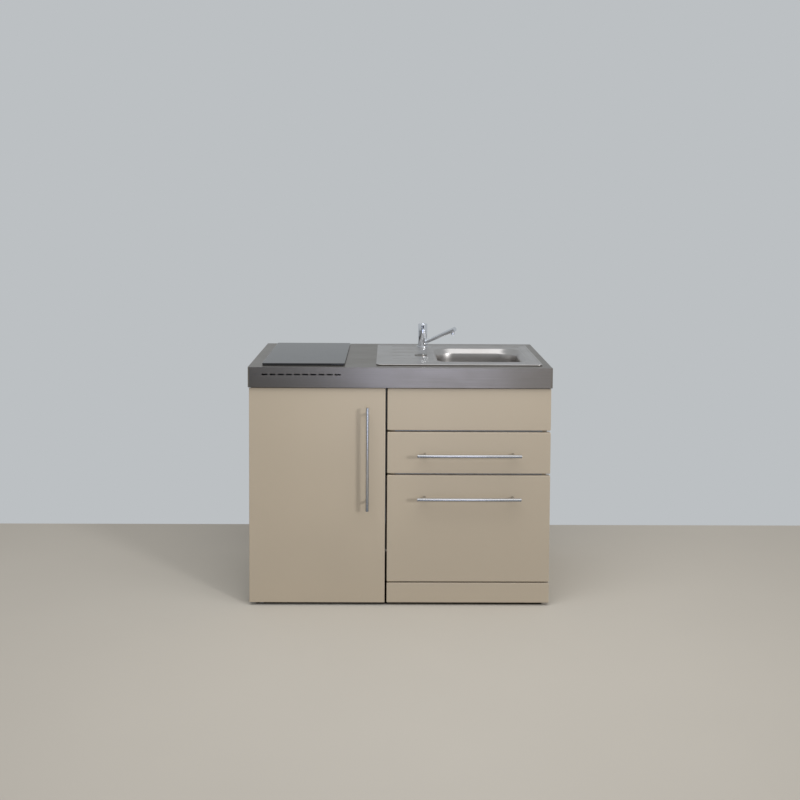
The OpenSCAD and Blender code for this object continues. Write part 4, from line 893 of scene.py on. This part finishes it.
@dataclass
class PressedSink(Piece):
    """The sink pressed from one sheet: rim, drainer with grooves, ledge and bowl.

    The rim's curve is (inset, height over its top). The lip's curve is (share of the way from the
    mouth to the bowl's wall, share of its depth). A groove is (its y, its right end).
    """

    sheet: float = 1.0
    sharp: float = 50.0
    outer: Outline = Outline(-89.0, -235.5, 521.0, 264.5, 18.0)
    deck_z: float = 877.5
    rim: float = 11.0
    rim_z: float = 880.0
    rim_curve: Profile = (
        (9.6, -2.4), (8.0, -1.7), (6.4, -0.7), (5.0, -0.15), (3.8, 0.0), (2.0, -0.05), (0.9, -0.4),
        (0.2, -1.1), (0.0, -1.9), (0.2, -2.7), (0.9, -3.6), (1.7, -4.3), (2.2, -4.9),
    )
    ledge: Outline = Outline(133.0, -157.5, 486.0, 240.5, 24.0)
    step: float = 2.5
    step_run: float = 4.0
    mouth: Outline = Outline(133.6, -156.6, 485.0, 194.0, 66.0)
    lip_depth: float = 21.0
    lip_curve: Profile = (
        (0.0, 0.0), (0.06, 0.006), (0.12, 0.025), (0.18, 0.06), (0.25, 0.12), (0.4, 0.265),
        (0.55, 0.41), (0.7, 0.56), (0.82, 0.69), (0.91, 0.8), (0.97, 0.9), (1.0, 1.0),
    )
    bowl: Outline = Outline(146.0, -139.5, 466.0, 180.5, 75.0)
    fillet: float = 25.0
    floor_z: float = 727.5
    waste_r: float = 43.0
    grooves: Profile = ((222.5, 61.0), (144.5, 86.0), (66.5, 86.0), (-11.5, 39.0), (-89.5, 86.0))
    groove_left: float = -25.0
    groove_half: float = 6.6
    groove_depth: float = 3.0
    rim_corner_steps: int = 6
    ledge_corner_steps: int = 10
    ledge_steps: tuple[int, int] = (16, 12)
    groove_end_steps: int = 9
    groove_steps: int = 14
    step_steps: int = 6
    wall_steps: int = 5
    fillet_steps: int = 10
    ledge_shares: tuple[float, ...] = (0.25, 0.5, 0.75, 0.97)
    floor_shares: tuple[float, ...] = (0.04, 0.3, 0.65, 1.0)

    def drop(self, x: Array, y: Array) -> Array:
        """The grooves' depth * (1 - (d / half)^2)^2 at distance d from a groove's line."""
        total = np.zeros_like(x)
        for at_y, end in self.grooves:
            dx = np.maximum(np.maximum(self.groove_left - x, x - end), 0.0)
            d = np.hypot(dx, y - at_y) / self.groove_half
            total = np.maximum(total, self.groove_depth * np.clip(1.0 - d * d, 0.0, 1.0) ** 2)
        return total

    def lines(self, deck: Outline, hole: Outline) -> tuple[Array, Array]:
        """The deck's grid lines: dense at its corners, the grooves and the hole's corners."""
        c, h = deck.corner, hole.corner
        half = self.groove_half + 1.0
        few, many, fine = self.rim_corner_steps, self.ledge_corner_steps, self.groove_end_steps
        xs = grid_lines(
            (deck.left, deck.left + c, few),
            (self.groove_left - half, self.groove_left + 1.0, fine),
            *((end - 1.0, end + half, fine) for _, end in self.grooves),
            (hole.left, hole.left + h, many),
            (hole.left + h, hole.right - h, self.ledge_steps[0]),
            (hole.right - h, hole.right, many),
            (deck.right - c, deck.right, few),
        )
        ys = grid_lines(
            (deck.low, deck.low + c, few),
            *((y - half, y + half, self.groove_steps) for y, _ in self.grooves),
            (hole.low, hole.low + h, many),
            (hole.low + h, hole.high - h, self.ledge_steps[1]),
            (hole.high - h, hole.high, many),
            (deck.high - c, deck.high, few),
        )
        return xs, ys

    def deck_sheet(self, deck: Outline, hole: Outline, xs: Array, ys: Array) -> Surface:
        """The flat deck with its grooves, and without the cells over the hole."""
        px, py = deck.rounded(*np.meshgrid(xs, ys))
        mid_x, mid_y = (xs[1:] + xs[:-1]) / 2, (ys[1:] + ys[:-1]) / 2
        in_x = (mid_x > hole.left) & (mid_x < hole.right)
        in_y = (mid_y > hole.low) & (mid_y < hole.high)
        points = np.stack([px, py, self.deck_z - self.drop(px, py)], -1)
        return sheet_grid(points, ~(in_y[:, None] & in_x[None, :]))

    def rim_sheet(self, part: Array, share: Array) -> Surface:
        """The rim, which rolls over its top and back under itself."""
        curve = [(self.rim, self.deck_z), *((d, self.rim_z + h) for d, h in self.rim_curve)]
        rings = [ring(self.outer.at(part, share, d), z) for d, z in reversed(curve)]
        return loft(np.array(rings))

    def bowl_sheet(self, hole: Outline, xs: Array, ys: Array) -> Surface:
        """Rings from the hole down the step, over the ledge, down the lip and wall to the waste.

        The step falls by step * (3 t^2 - 2 t^3) at share t of its run.
        """
        part, share, square = hole.around(xs, ys)
        rings = [ring(square, self.deck_z), ring(hole.at(part, share), self.deck_z)]
        for t in np.linspace(0.0, 1.0, self.step_steps + 1)[1:]:
            fall = self.step * t * t * (3.0 - 2.0 * t)
            rings.append(ring(hole.at(part, share, self.step_run * t), self.deck_z - fall))
        ledge_z = self.deck_z - self.step
        flat = rings[-1]
        lip = ring(self.mouth.at(part, share), ledge_z)
        brink = ring(self.bowl.at(part, share), ledge_z)
        rings += [flat + (lip - flat) * t for t in self.ledge_shares]
        for across, down in self.lip_curve:
            level = lip + (brink - lip) * across
            level[:, 2] = ledge_z - self.lip_depth * down
            rings.append(level)
        foot_z = self.floor_z + self.fillet
        heights = np.linspace(ledge_z - self.lip_depth, foot_z, self.wall_steps + 1)
        wall = [(0.0, z) for z in heights[1:-1]]
        wall += arc((self.fillet, foot_z), self.fillet, 180.0, 270.0, self.fillet_steps)
        rings += [ring(self.bowl.at(part, share, d), z) for d, z in wall]
        foot, b = rings[-1], self.bowl
        centre = np.array([(b.left + b.right) / 2, (b.low + b.high) / 2])
        away = foot[:, :2] - centre
        circle = centre + self.waste_r * away / np.linalg.norm(away, axis=1, keepdims=True)
        waste = ring(circle, self.floor_z)
        rings += [foot + (waste - foot) * t for t in self.floor_shares]
        return loft(np.array(rings))

    def build(self, bench: Bench) -> None:
        """Builds deck, rim and bowl on shared grid lines, then gives the sheet its thickness."""
        deck, hole = self.outer.inset(self.rim), self.ledge.inset(-self.step_run)
        xs, ys = self.lines(deck, hole)
        part, share, _ = deck.around(xs, ys)
        surfaces = [
            self.deck_sheet(deck, hole, xs, ys),
            self.rim_sheet(part, share),
            self.bowl_sheet(hole, xs, ys),
        ]

        under = {"thickness": self.sheet * MM, "offset": -1.0}
        solid = ("sheet thickness", "SOLIDIFY", under)
        bench.write("pressed_sink", "sink", surfaces, self.sharp, turn_out=False, modifier=solid)


@dataclass
class Front(Piece):
    """A folded sheet front with round corners and edges."""

    node: str
    corner: float = 4.0
    edge: float = 2.2
    edge_steps: int = 5
    rear_edge: float = 0.3
    rear_flat: float = 1.2
    flat: float = 2.0

    def build(self, bench: Bench) -> None:
        """A slab from the rear edge to the face: straight sides, then a quarter circle."""
        low, high = box_of(self.node)
        t, e, r = high[1] - low[1], self.edge, self.rear_edge
        fold = arc((e, t - e), e, 180.0, 90.0, self.edge_steps)
        rear = [(r + self.rear_flat, 0.0), (r, 0.0), (0.0, r)]
        profile = [*rear, *fold, (e + self.flat, t)]
        outline = Outline(low[0], low[2], high[0], high[2], self.corner)
        sheet = slab(outline, profile, Plane((0.0, high[1], 0.0), *FRONT))
        bench.write(f"{self.node}_folded", self.node, [sheet])


class Way(Enum):
    """The direction of a handle's bar, as the number of its axis."""

    ACROSS = 0
    UPRIGHT = 2


@dataclass
class BarHandle(Piece):
    """A round bar on two posts."""

    node: str
    way: Way
    bar_d: float = 12.0
    bar_ease: float = 0.9
    bar_steps: int = 48
    post_d: float = 9.0
    post_ease: float = 0.3
    post_steps: int = 32
    pitch: float = 320.0

    def build(self, bench: Bench) -> None:
        """A bar with eased ends, and two posts that end in its middle."""
        low, high = box_of(self.node)
        k = self.way.value
        axis_y = low[1] + self.bar_d / 2
        middle = (low + high) / 2
        start, end = middle.copy(), middle.copy()
        start[1] = end[1] = axis_y
        start[k], end[k] = low[k], high[k]
        radius, ease = self.bar_d / 2, self.bar_ease
        surfaces = [rod(tuple(start), tuple(end), radius, ease, self.bar_steps)]
        radius, ease = self.post_d / 2, self.post_ease
        for side in (-1, 1):
            foot = middle.copy()
            foot[k] += side * self.pitch / 2
            foot[1] = high[1]
            head = foot.copy()
            head[1] = axis_y
            surfaces.append(rod(tuple(foot), tuple(head), radius, ease, self.post_steps))
        bench.write(f"{self.node}_bar", self.node, surfaces)


@dataclass
class Spout(Piece):
    """The tap's spout, which leaves its sleeve lower down than the solid and rises more steeply."""

    axis: tuple[float, float] = (95.0, 213.5)
    deck_z: float = 877.5
    turn: float = -49.0
    reach: float = 186.0
    sleeve_r: float = 20.0
    sleeve_low: float = 8.0
    sleeve_high: float = 42.0
    outlet_from: float = 100.0
    outlet_z: float = 74.0
    root_drop: float = 8.0
    tip_lift: float = 1.2
    touch: float = 0.05

    def lean(self, points: Array) -> Array:
        """Adds -root_drop + (root_drop + tip_lift) * u / reach to z, at distance u along the spout.

        The sleeve's own rings and the outlet's lower end stay.
        """
        angle = math.radians(self.turn)
        x, y = points[:, 0] - self.axis[0], points[:, 1] - self.axis[1]
        u = x * math.cos(angle) + y * math.sin(angle)
        z = points[:, 2] - self.deck_z
        at_rings = (z < self.sleeve_low + self.touch) | (z > self.sleeve_high - self.touch)
        stays = ((u < self.sleeve_r) & at_rings) | ((u > self.outlet_from) & (z < self.outlet_z))
        change = -self.root_drop + (self.root_drop + self.tip_lift) * u / self.reach
        moved = points.copy()
        moved[:, 2] += np.where(stays, 0.0, change)
        return moved

    def build(self, bench: Bench) -> None:
        """A copy of the solid whose tube leans."""
        bench.eased("tap_spout", 0.5, "spout_tube", move=self.lean)


@dataclass
class Tub(Piece):
    """A moulded open box with drafted walls, a rounded floor and a beaded rim.

    The beads are (inset from the wall's face, height over the rim). The grip is the depth of a
    ledge in front of the rim, and its fold is (depth, height) from its front edge.
    """

    node: str
    corner: float
    grip: float = 0.0
    draft: float = 3.0
    wall: float = 2.2
    fillet: float = 8.0
    fillet_steps: int = 6
    corner_steps: int = 10
    foot: float = 6.0
    outer_bead: Profile = (
        (1.2, -6.0), (0.3, -5.2), (0.0, -4.2), (0.0, -1.2), (0.4, -0.3), (1.2, 0.0),
    )
    inner_bead: Profile = ((0.8, 0.0), (1.6, -0.4), (2.0, -1.2))
    grip_outside: Profile = ((0.7, -13.8), (0.0, -13.0), (0.0, -2.5), (0.7, -0.7), (2.5, 0.0))
    grip_inside: Profile = ((4.2, -3.6), (2.5, -5.2), (2.5, -13.0), (1.8, -13.8))
    grip_top: float = -0.2
    grip_end: float = 3.0

    def pull(self, low: Array, high: Array) -> Surface:
        """A ledge in front of the rim that folds down to be gripped."""
        joint = self.grip + 1.2
        thick = self.grip_inside[0][1]
        section = [*self.grip_outside, (joint, 0.0), (joint, thick), *self.grip_inside]
        front, top = low[1], high[2] + self.grip_top
        ends = (high[0] - self.grip_end, low[0] + self.grip_end)
        rings = [[(x, front + y, top + z) for y, z in section] for x in ends]
        return loft(np.array(rings), capped=True)

    def build(self, bench: Bench) -> None:
        """Rings from the floor's underside up the outer wall, over the rim and down inside."""
        low, high = box_of(self.node)
        h, w, f, d = high[2] - low[2], self.wall, self.fillet, self.draft
        g, steps = max(f - w, 1.0), self.fillet_steps
        profile = [
            (d + f + self.foot, 0.0),
            *arc((d + f, f), f, -90.0, -180.0, steps),
            *((inset, h + z) for inset, z in self.outer_bead),
            *((w + inset, h + z) for inset, z in self.inner_bead),
            *arc((d + w + g, w + g), g, 180.0, 270.0, steps),
            (d + w + g + self.foot, w),
        ]
        outline = Outline(low[0], low[1] + self.grip, high[0], high[1], self.corner)
        surfaces = [slab(outline, profile, Plane((0.0, 0.0, low[2])), self.corner_steps)]
        if self.grip:
            surfaces.append(self.pull(low, high))
        bench.write(f"{self.node}_tub", self.node, surfaces)


@dataclass
class Gasket(Piece):
    """The door's magnet gasket: a bellows section, (inset, share of its height), round the door."""

    corner: float = 12.0
    width: float = 14.0
    side: Profile = ((1.0, 0.0), (0.0, 0.25), (2.0, 0.42), (0.0, 0.6), (0.8, 0.88), (2.6, 1.0))
    sharp: float = 70.0

    def build(self, bench: Bench) -> None:
        """The section runs over a folded side, a round nose with the magnet, and back."""
        low, high = box_of("door_gasket")
        h = high[1] - low[1]
        section = [(d, share * h) for d, share in self.side]
        section += [(self.width - d, share * h) for d, share in reversed(self.side)]
        outline = Outline(-high[0], low[2], -low[0], high[2], self.corner)
        bellows = frame_round(outline, section, Plane((0.0, low[1], 0.0), *REAR))
        bench.write("door_gasket_bellows", "door_gasket", [bellows], self.sharp)


@dataclass
class Kitchenette:
    """The whole unit: the pieces that are made, the nodes left bare, and the others' edges."""

    made: tuple[Piece, ...] = (
        Worktop(), Hob(), PressedSink(),
        Front("top_panel"), Front("drawer_front"), Front("pullout_front"), Front("plinth"),
        BarHandle("door_handle", Way.UPRIGHT), BarHandle("drawer_handle", Way.ACROSS),
        BarHandle("pullout_handle", Way.ACROSS), Tub("crisper", 18.0, grip=14.0),
        Tub("door_bin_lower", 14.0), Tub("door_bin_middle", 12.0), Tub("door_bin_upper", 12.0),
        Gasket(), Spout(),
    )
    bare: tuple[str, ...] = ("fridge_foam", "door_foam")
    width: float = 0.3
    widths: dict[str, float] = field(default_factory=lambda: {
        "hob_trim": 0.4, "hob_casing": 0.8, "tap_body": 0.5, "tap_cap": 0.5, "tap_lever": 0.5,
        "tap_aerator": 0.4, "fridge_liner": 0.8, "door_liner": 0.8, "compressor": 1.2,
        "thermostat_box": 1.5, "thermostat_knob": 0.8, "icebox": 0.5, "icebox_flap": 1.2,
        "cabinet_sides": 0.5, "drawer_box": 0.4, "pullout_box": 0.4, "trap_nuts": 0.6,
    })

    def build(self, bench: Bench) -> None:
        """Builds the made pieces, then softened copies of all other nodes."""
        for piece in self.made:
            piece.build(bench)
        for node in sorted(frame["nodes"]):
            if node not in bench.covered and node not in self.bare:
                bench.eased(node, self.widths.get(node, self.width))


# ---- Studio ----


def facing(direction: Vector) -> Euler:
    """The turn of a lamp that shines along a direction."""
    return direction.to_track_quat("-Z", "Y").to_euler()


@dataclass(frozen=True)
class Softbox:
    """A flat lamp. Its width and height are metres, and 1 is the glow of white."""

    name: str
    at: Point
    aim: Point
    width: float
    height: float
    glow: float
    tint: Point = (1.0, 1.0, 1.0)
    in_reflections: bool = True
    in_light: bool = True

    def hang(self) -> None:
        """Adds the lamp, whose power is glow * pi * width * height."""
        light = bpy.data.lights.new(self.name, "AREA")
        light.shape = "RECTANGLE"
        light.size, light.size_y = self.width, self.height
        light.energy = self.glow * math.pi * self.width * self.height
        light.color = self.tint
        lamp = bpy.data.objects.new(self.name, light)
        lamp.rotation_euler = facing(Vector(self.aim))
        lamp.location = self.at
        lamp.visible_camera = False
        lamp.visible_glossy = self.in_reflections
        lamp.visible_diffuse = self.in_light
        bpy.context.scene.collection.objects.link(lamp)


def stage_sheet(
    name: str, corners: Sequence[Point], material: bpy.types.Material
) -> bpy.types.Object:
    """A flat sheet of the surroundings through four corners in metres."""
    mesh = bpy.data.meshes.new(name)
    mesh.from_pydata(corners, [], [(0, 1, 2, 3)])
    mesh.materials.append(material)
    sheet = bpy.data.objects.new(name, mesh)
    bpy.context.scene.collection.objects.link(sheet)
    return sheet


@dataclass(frozen=True)
class Card:
    """A dark card, from a corner along two edges in metres, that only reflections see."""

    name: str
    corner: Point
    width: Point
    height: Point
    colour: Colour = shade(84, 104, 128)

    def stand(self) -> None:
        """Adds the card."""
        shader = Shader(bpy.data.materials.new(self.name))
        material = shader.finish(Base_Color=self.colour, Roughness=1.0)
        a, w, h = Vector(self.corner), Vector(self.width), Vector(self.height)
        card = stage_sheet(self.name, [a, a + w, a + w + h, a + h], material)
        card.visible_camera = card.visible_diffuse = False
        card.visible_shadow = card.visible_transmission = False


@dataclass
class Studio:
    """Floor, light and camera, in metres and degrees."""

    backdrop: Colour = shade(188, 192, 195)
    floor_colour: Colour = shade(188, 183, 174)
    floor_half: float = 4.0
    floor_front: float = -6.0
    floor_back: float = 0.64
    # A painted shadow darkens the floor under the unit: its colour, how far behind the unit's front
    # and inside its sides and rear it starts, and its soft edge.
    painted_shadow_colour: Colour = shade(46, 40, 34)
    painted_shadow_front: float = 0.05
    painted_shadow_inset: float = 0.02
    painted_shadow_edge: float = 0.012
    fill: float = 0.48
    key: float = 1.1
    key_from: Point = (0.68, -0.70, 0.25)
    key_angle: float = 9.0
    softboxes: tuple[Softbox, ...] = (
        Softbox("overhead softbox", (0.2, -1.4, 2.7), (-0.1, 0.5, -1.0), 3.4, 2.2, 1.2),
        Softbox("top wash", (0.2, -0.95, 2.2), (0.0, 0.4, -1.0), 2.0, 0.8, 2.2,
                in_reflections=False),
        Softbox("front card", (0.28, -3.0, 0.45), (0.0, 1.0, 0.0), 1.0, 0.9, 2.7,
                (0.66, 0.73, 1.0), in_light=False),
    )
    cards: tuple[Card, ...] = (
        Card("dark card", (-1.7, -2.95, 0.0), (1.48, 0.0, 0.0), (0.0, 0.0, 1.3)),
        Card("dark mat", (-1.3, -0.95, 0.004), (2.6, 0.0, 0.0), (0.0, 0.53, 0.0)),
    )
    focal: float = 45.45
    sensor: float = 36.0
    eye: Point = (-0.039, -3.8905, 1.485)
    yaw: float = 0.55
    pitch: float = 2.89
    roll: float = 0.33
    shift: float = -0.18875

    def floor(self) -> None:
        """A pale floor with a painted shadow under the unit, whose rear edge meets the backdrop."""
        s = Shader(bpy.data.materials.new("pale floor"))
        cloud = s.noise(scale=1.5, detail=3.0)
        (left, front, _), (right, rear, _) = CAD_BOX
        x, y = s.along(0, 1)
        spans = (
            (x, left + self.painted_shadow_inset, right - self.painted_shadow_inset),
            (y, front + self.painted_shadow_front, rear - self.painted_shadow_inset),
        )
        # under is the painted shadow's mask: 1 under the unit, fading to 0 at its edges.
        under: Wire | float = 1.0
        for at, low, high in spans:
            into = at.fade(low, low + self.painted_shadow_edge)
            under = under * into * (1.0 - at.fade(high - self.painted_shadow_edge, high))
        pale = s.mix(self.floor_colour, scaled(self.floor_colour, 1.06), cloud)
        # The painted shadow is mixed into the floor's colour here.
        colour = s.mix(pale, self.painted_shadow_colour, under)
        material = s.finish(Base_Color=colour, Roughness=0.6, Specular_IOR_Level=0.0)
        half, near, far = self.floor_half, self.floor_front, self.floor_back
        corners = [(-half, near, 0.0), (half, near, 0.0), (half, far, 0.0), (-half, far, 0.0)]
        stage_sheet("floor", corners, material)

    def world(self) -> None:
        """Even light, and the backdrop for what is seen directly, in metal or through glass."""
        world = bpy.data.worlds.new("studio")
        s = Shader(world)
        path = s.node("ShaderNodeLightPath")
        seen = s.wire(path, "Is Camera Ray")
        for ray in ("Is Glossy Ray", "Is Transmission Ray"):
            seen = s.maths("MAXIMUM", seen, s.wire(path, ray))
        white = (1.0, 1.0, 1.0, 1.0)
        even = s.node("ShaderNodeBackground", None, {"Color": white, "Strength": self.fill})
        shown = s.node("ShaderNodeBackground", None, {"Color": self.backdrop})
        both = {0: seen, 1: s.wire(even), 2: s.wire(shown)}
        mix = s.node("ShaderNodeMixShader", None, both)
        s.node("ShaderNodeOutputWorld", None, {"Surface": s.wire(mix)})
        bpy.context.scene.world = world

    def light(self) -> None:
        """A soft key from the right front, the softboxes and the dark cards."""
        sun = bpy.data.lights.new("key", "SUN")
        sun.energy, sun.angle = self.key, math.radians(self.key_angle)
        key = bpy.data.objects.new("key", sun)
        key.rotation_euler = facing(-Vector(self.key_from))
        bpy.context.scene.collection.objects.link(key)
        for softbox in self.softboxes:
            softbox.hang()
        for card in self.cards:
            card.stand()

    def camera(self) -> None:
        """The photograph's camera: turned by yaw, pitch and roll, its picture shifted down."""
        yaw, pitch, roll = (math.radians(a) for a in (self.yaw, self.pitch, self.roll))
        level = math.cos(pitch)
        ahead = Vector((math.sin(yaw) * level, math.cos(yaw) * level, -math.sin(pitch)))
        side = Vector((math.cos(yaw), -math.sin(yaw), 0.0))
        top = side.cross(ahead)
        right = side * math.cos(roll) + top * math.sin(roll)
        up = top * math.cos(roll) - side * math.sin(roll)
        data = bpy.data.cameras.new("camera")
        data.lens = self.focal
        data.sensor_width = self.sensor
        data.shift_y = self.shift
        camera = bpy.data.objects.new("camera", data)
        turn = Matrix((right, up, -ahead)).transposed().to_4x4()
        camera.matrix_world = Matrix.Translation(self.eye) @ turn
        bpy.context.scene.collection.objects.link(camera)
        bpy.context.scene.camera = camera

    def build(self) -> None:
        """Sets up the studio."""
        bpy.context.scene.view_settings.view_transform = "Standard"
        self.floor()
        self.world()
        self.light()
        self.camera()


def main() -> None:
    """Builds the studio and the kitchenette."""
    logging.basicConfig(level=logging.INFO, format="%(message)s")
    Studio().build()
    Kitchenette().build(Bench())


if __name__ == "__main__":
    main()
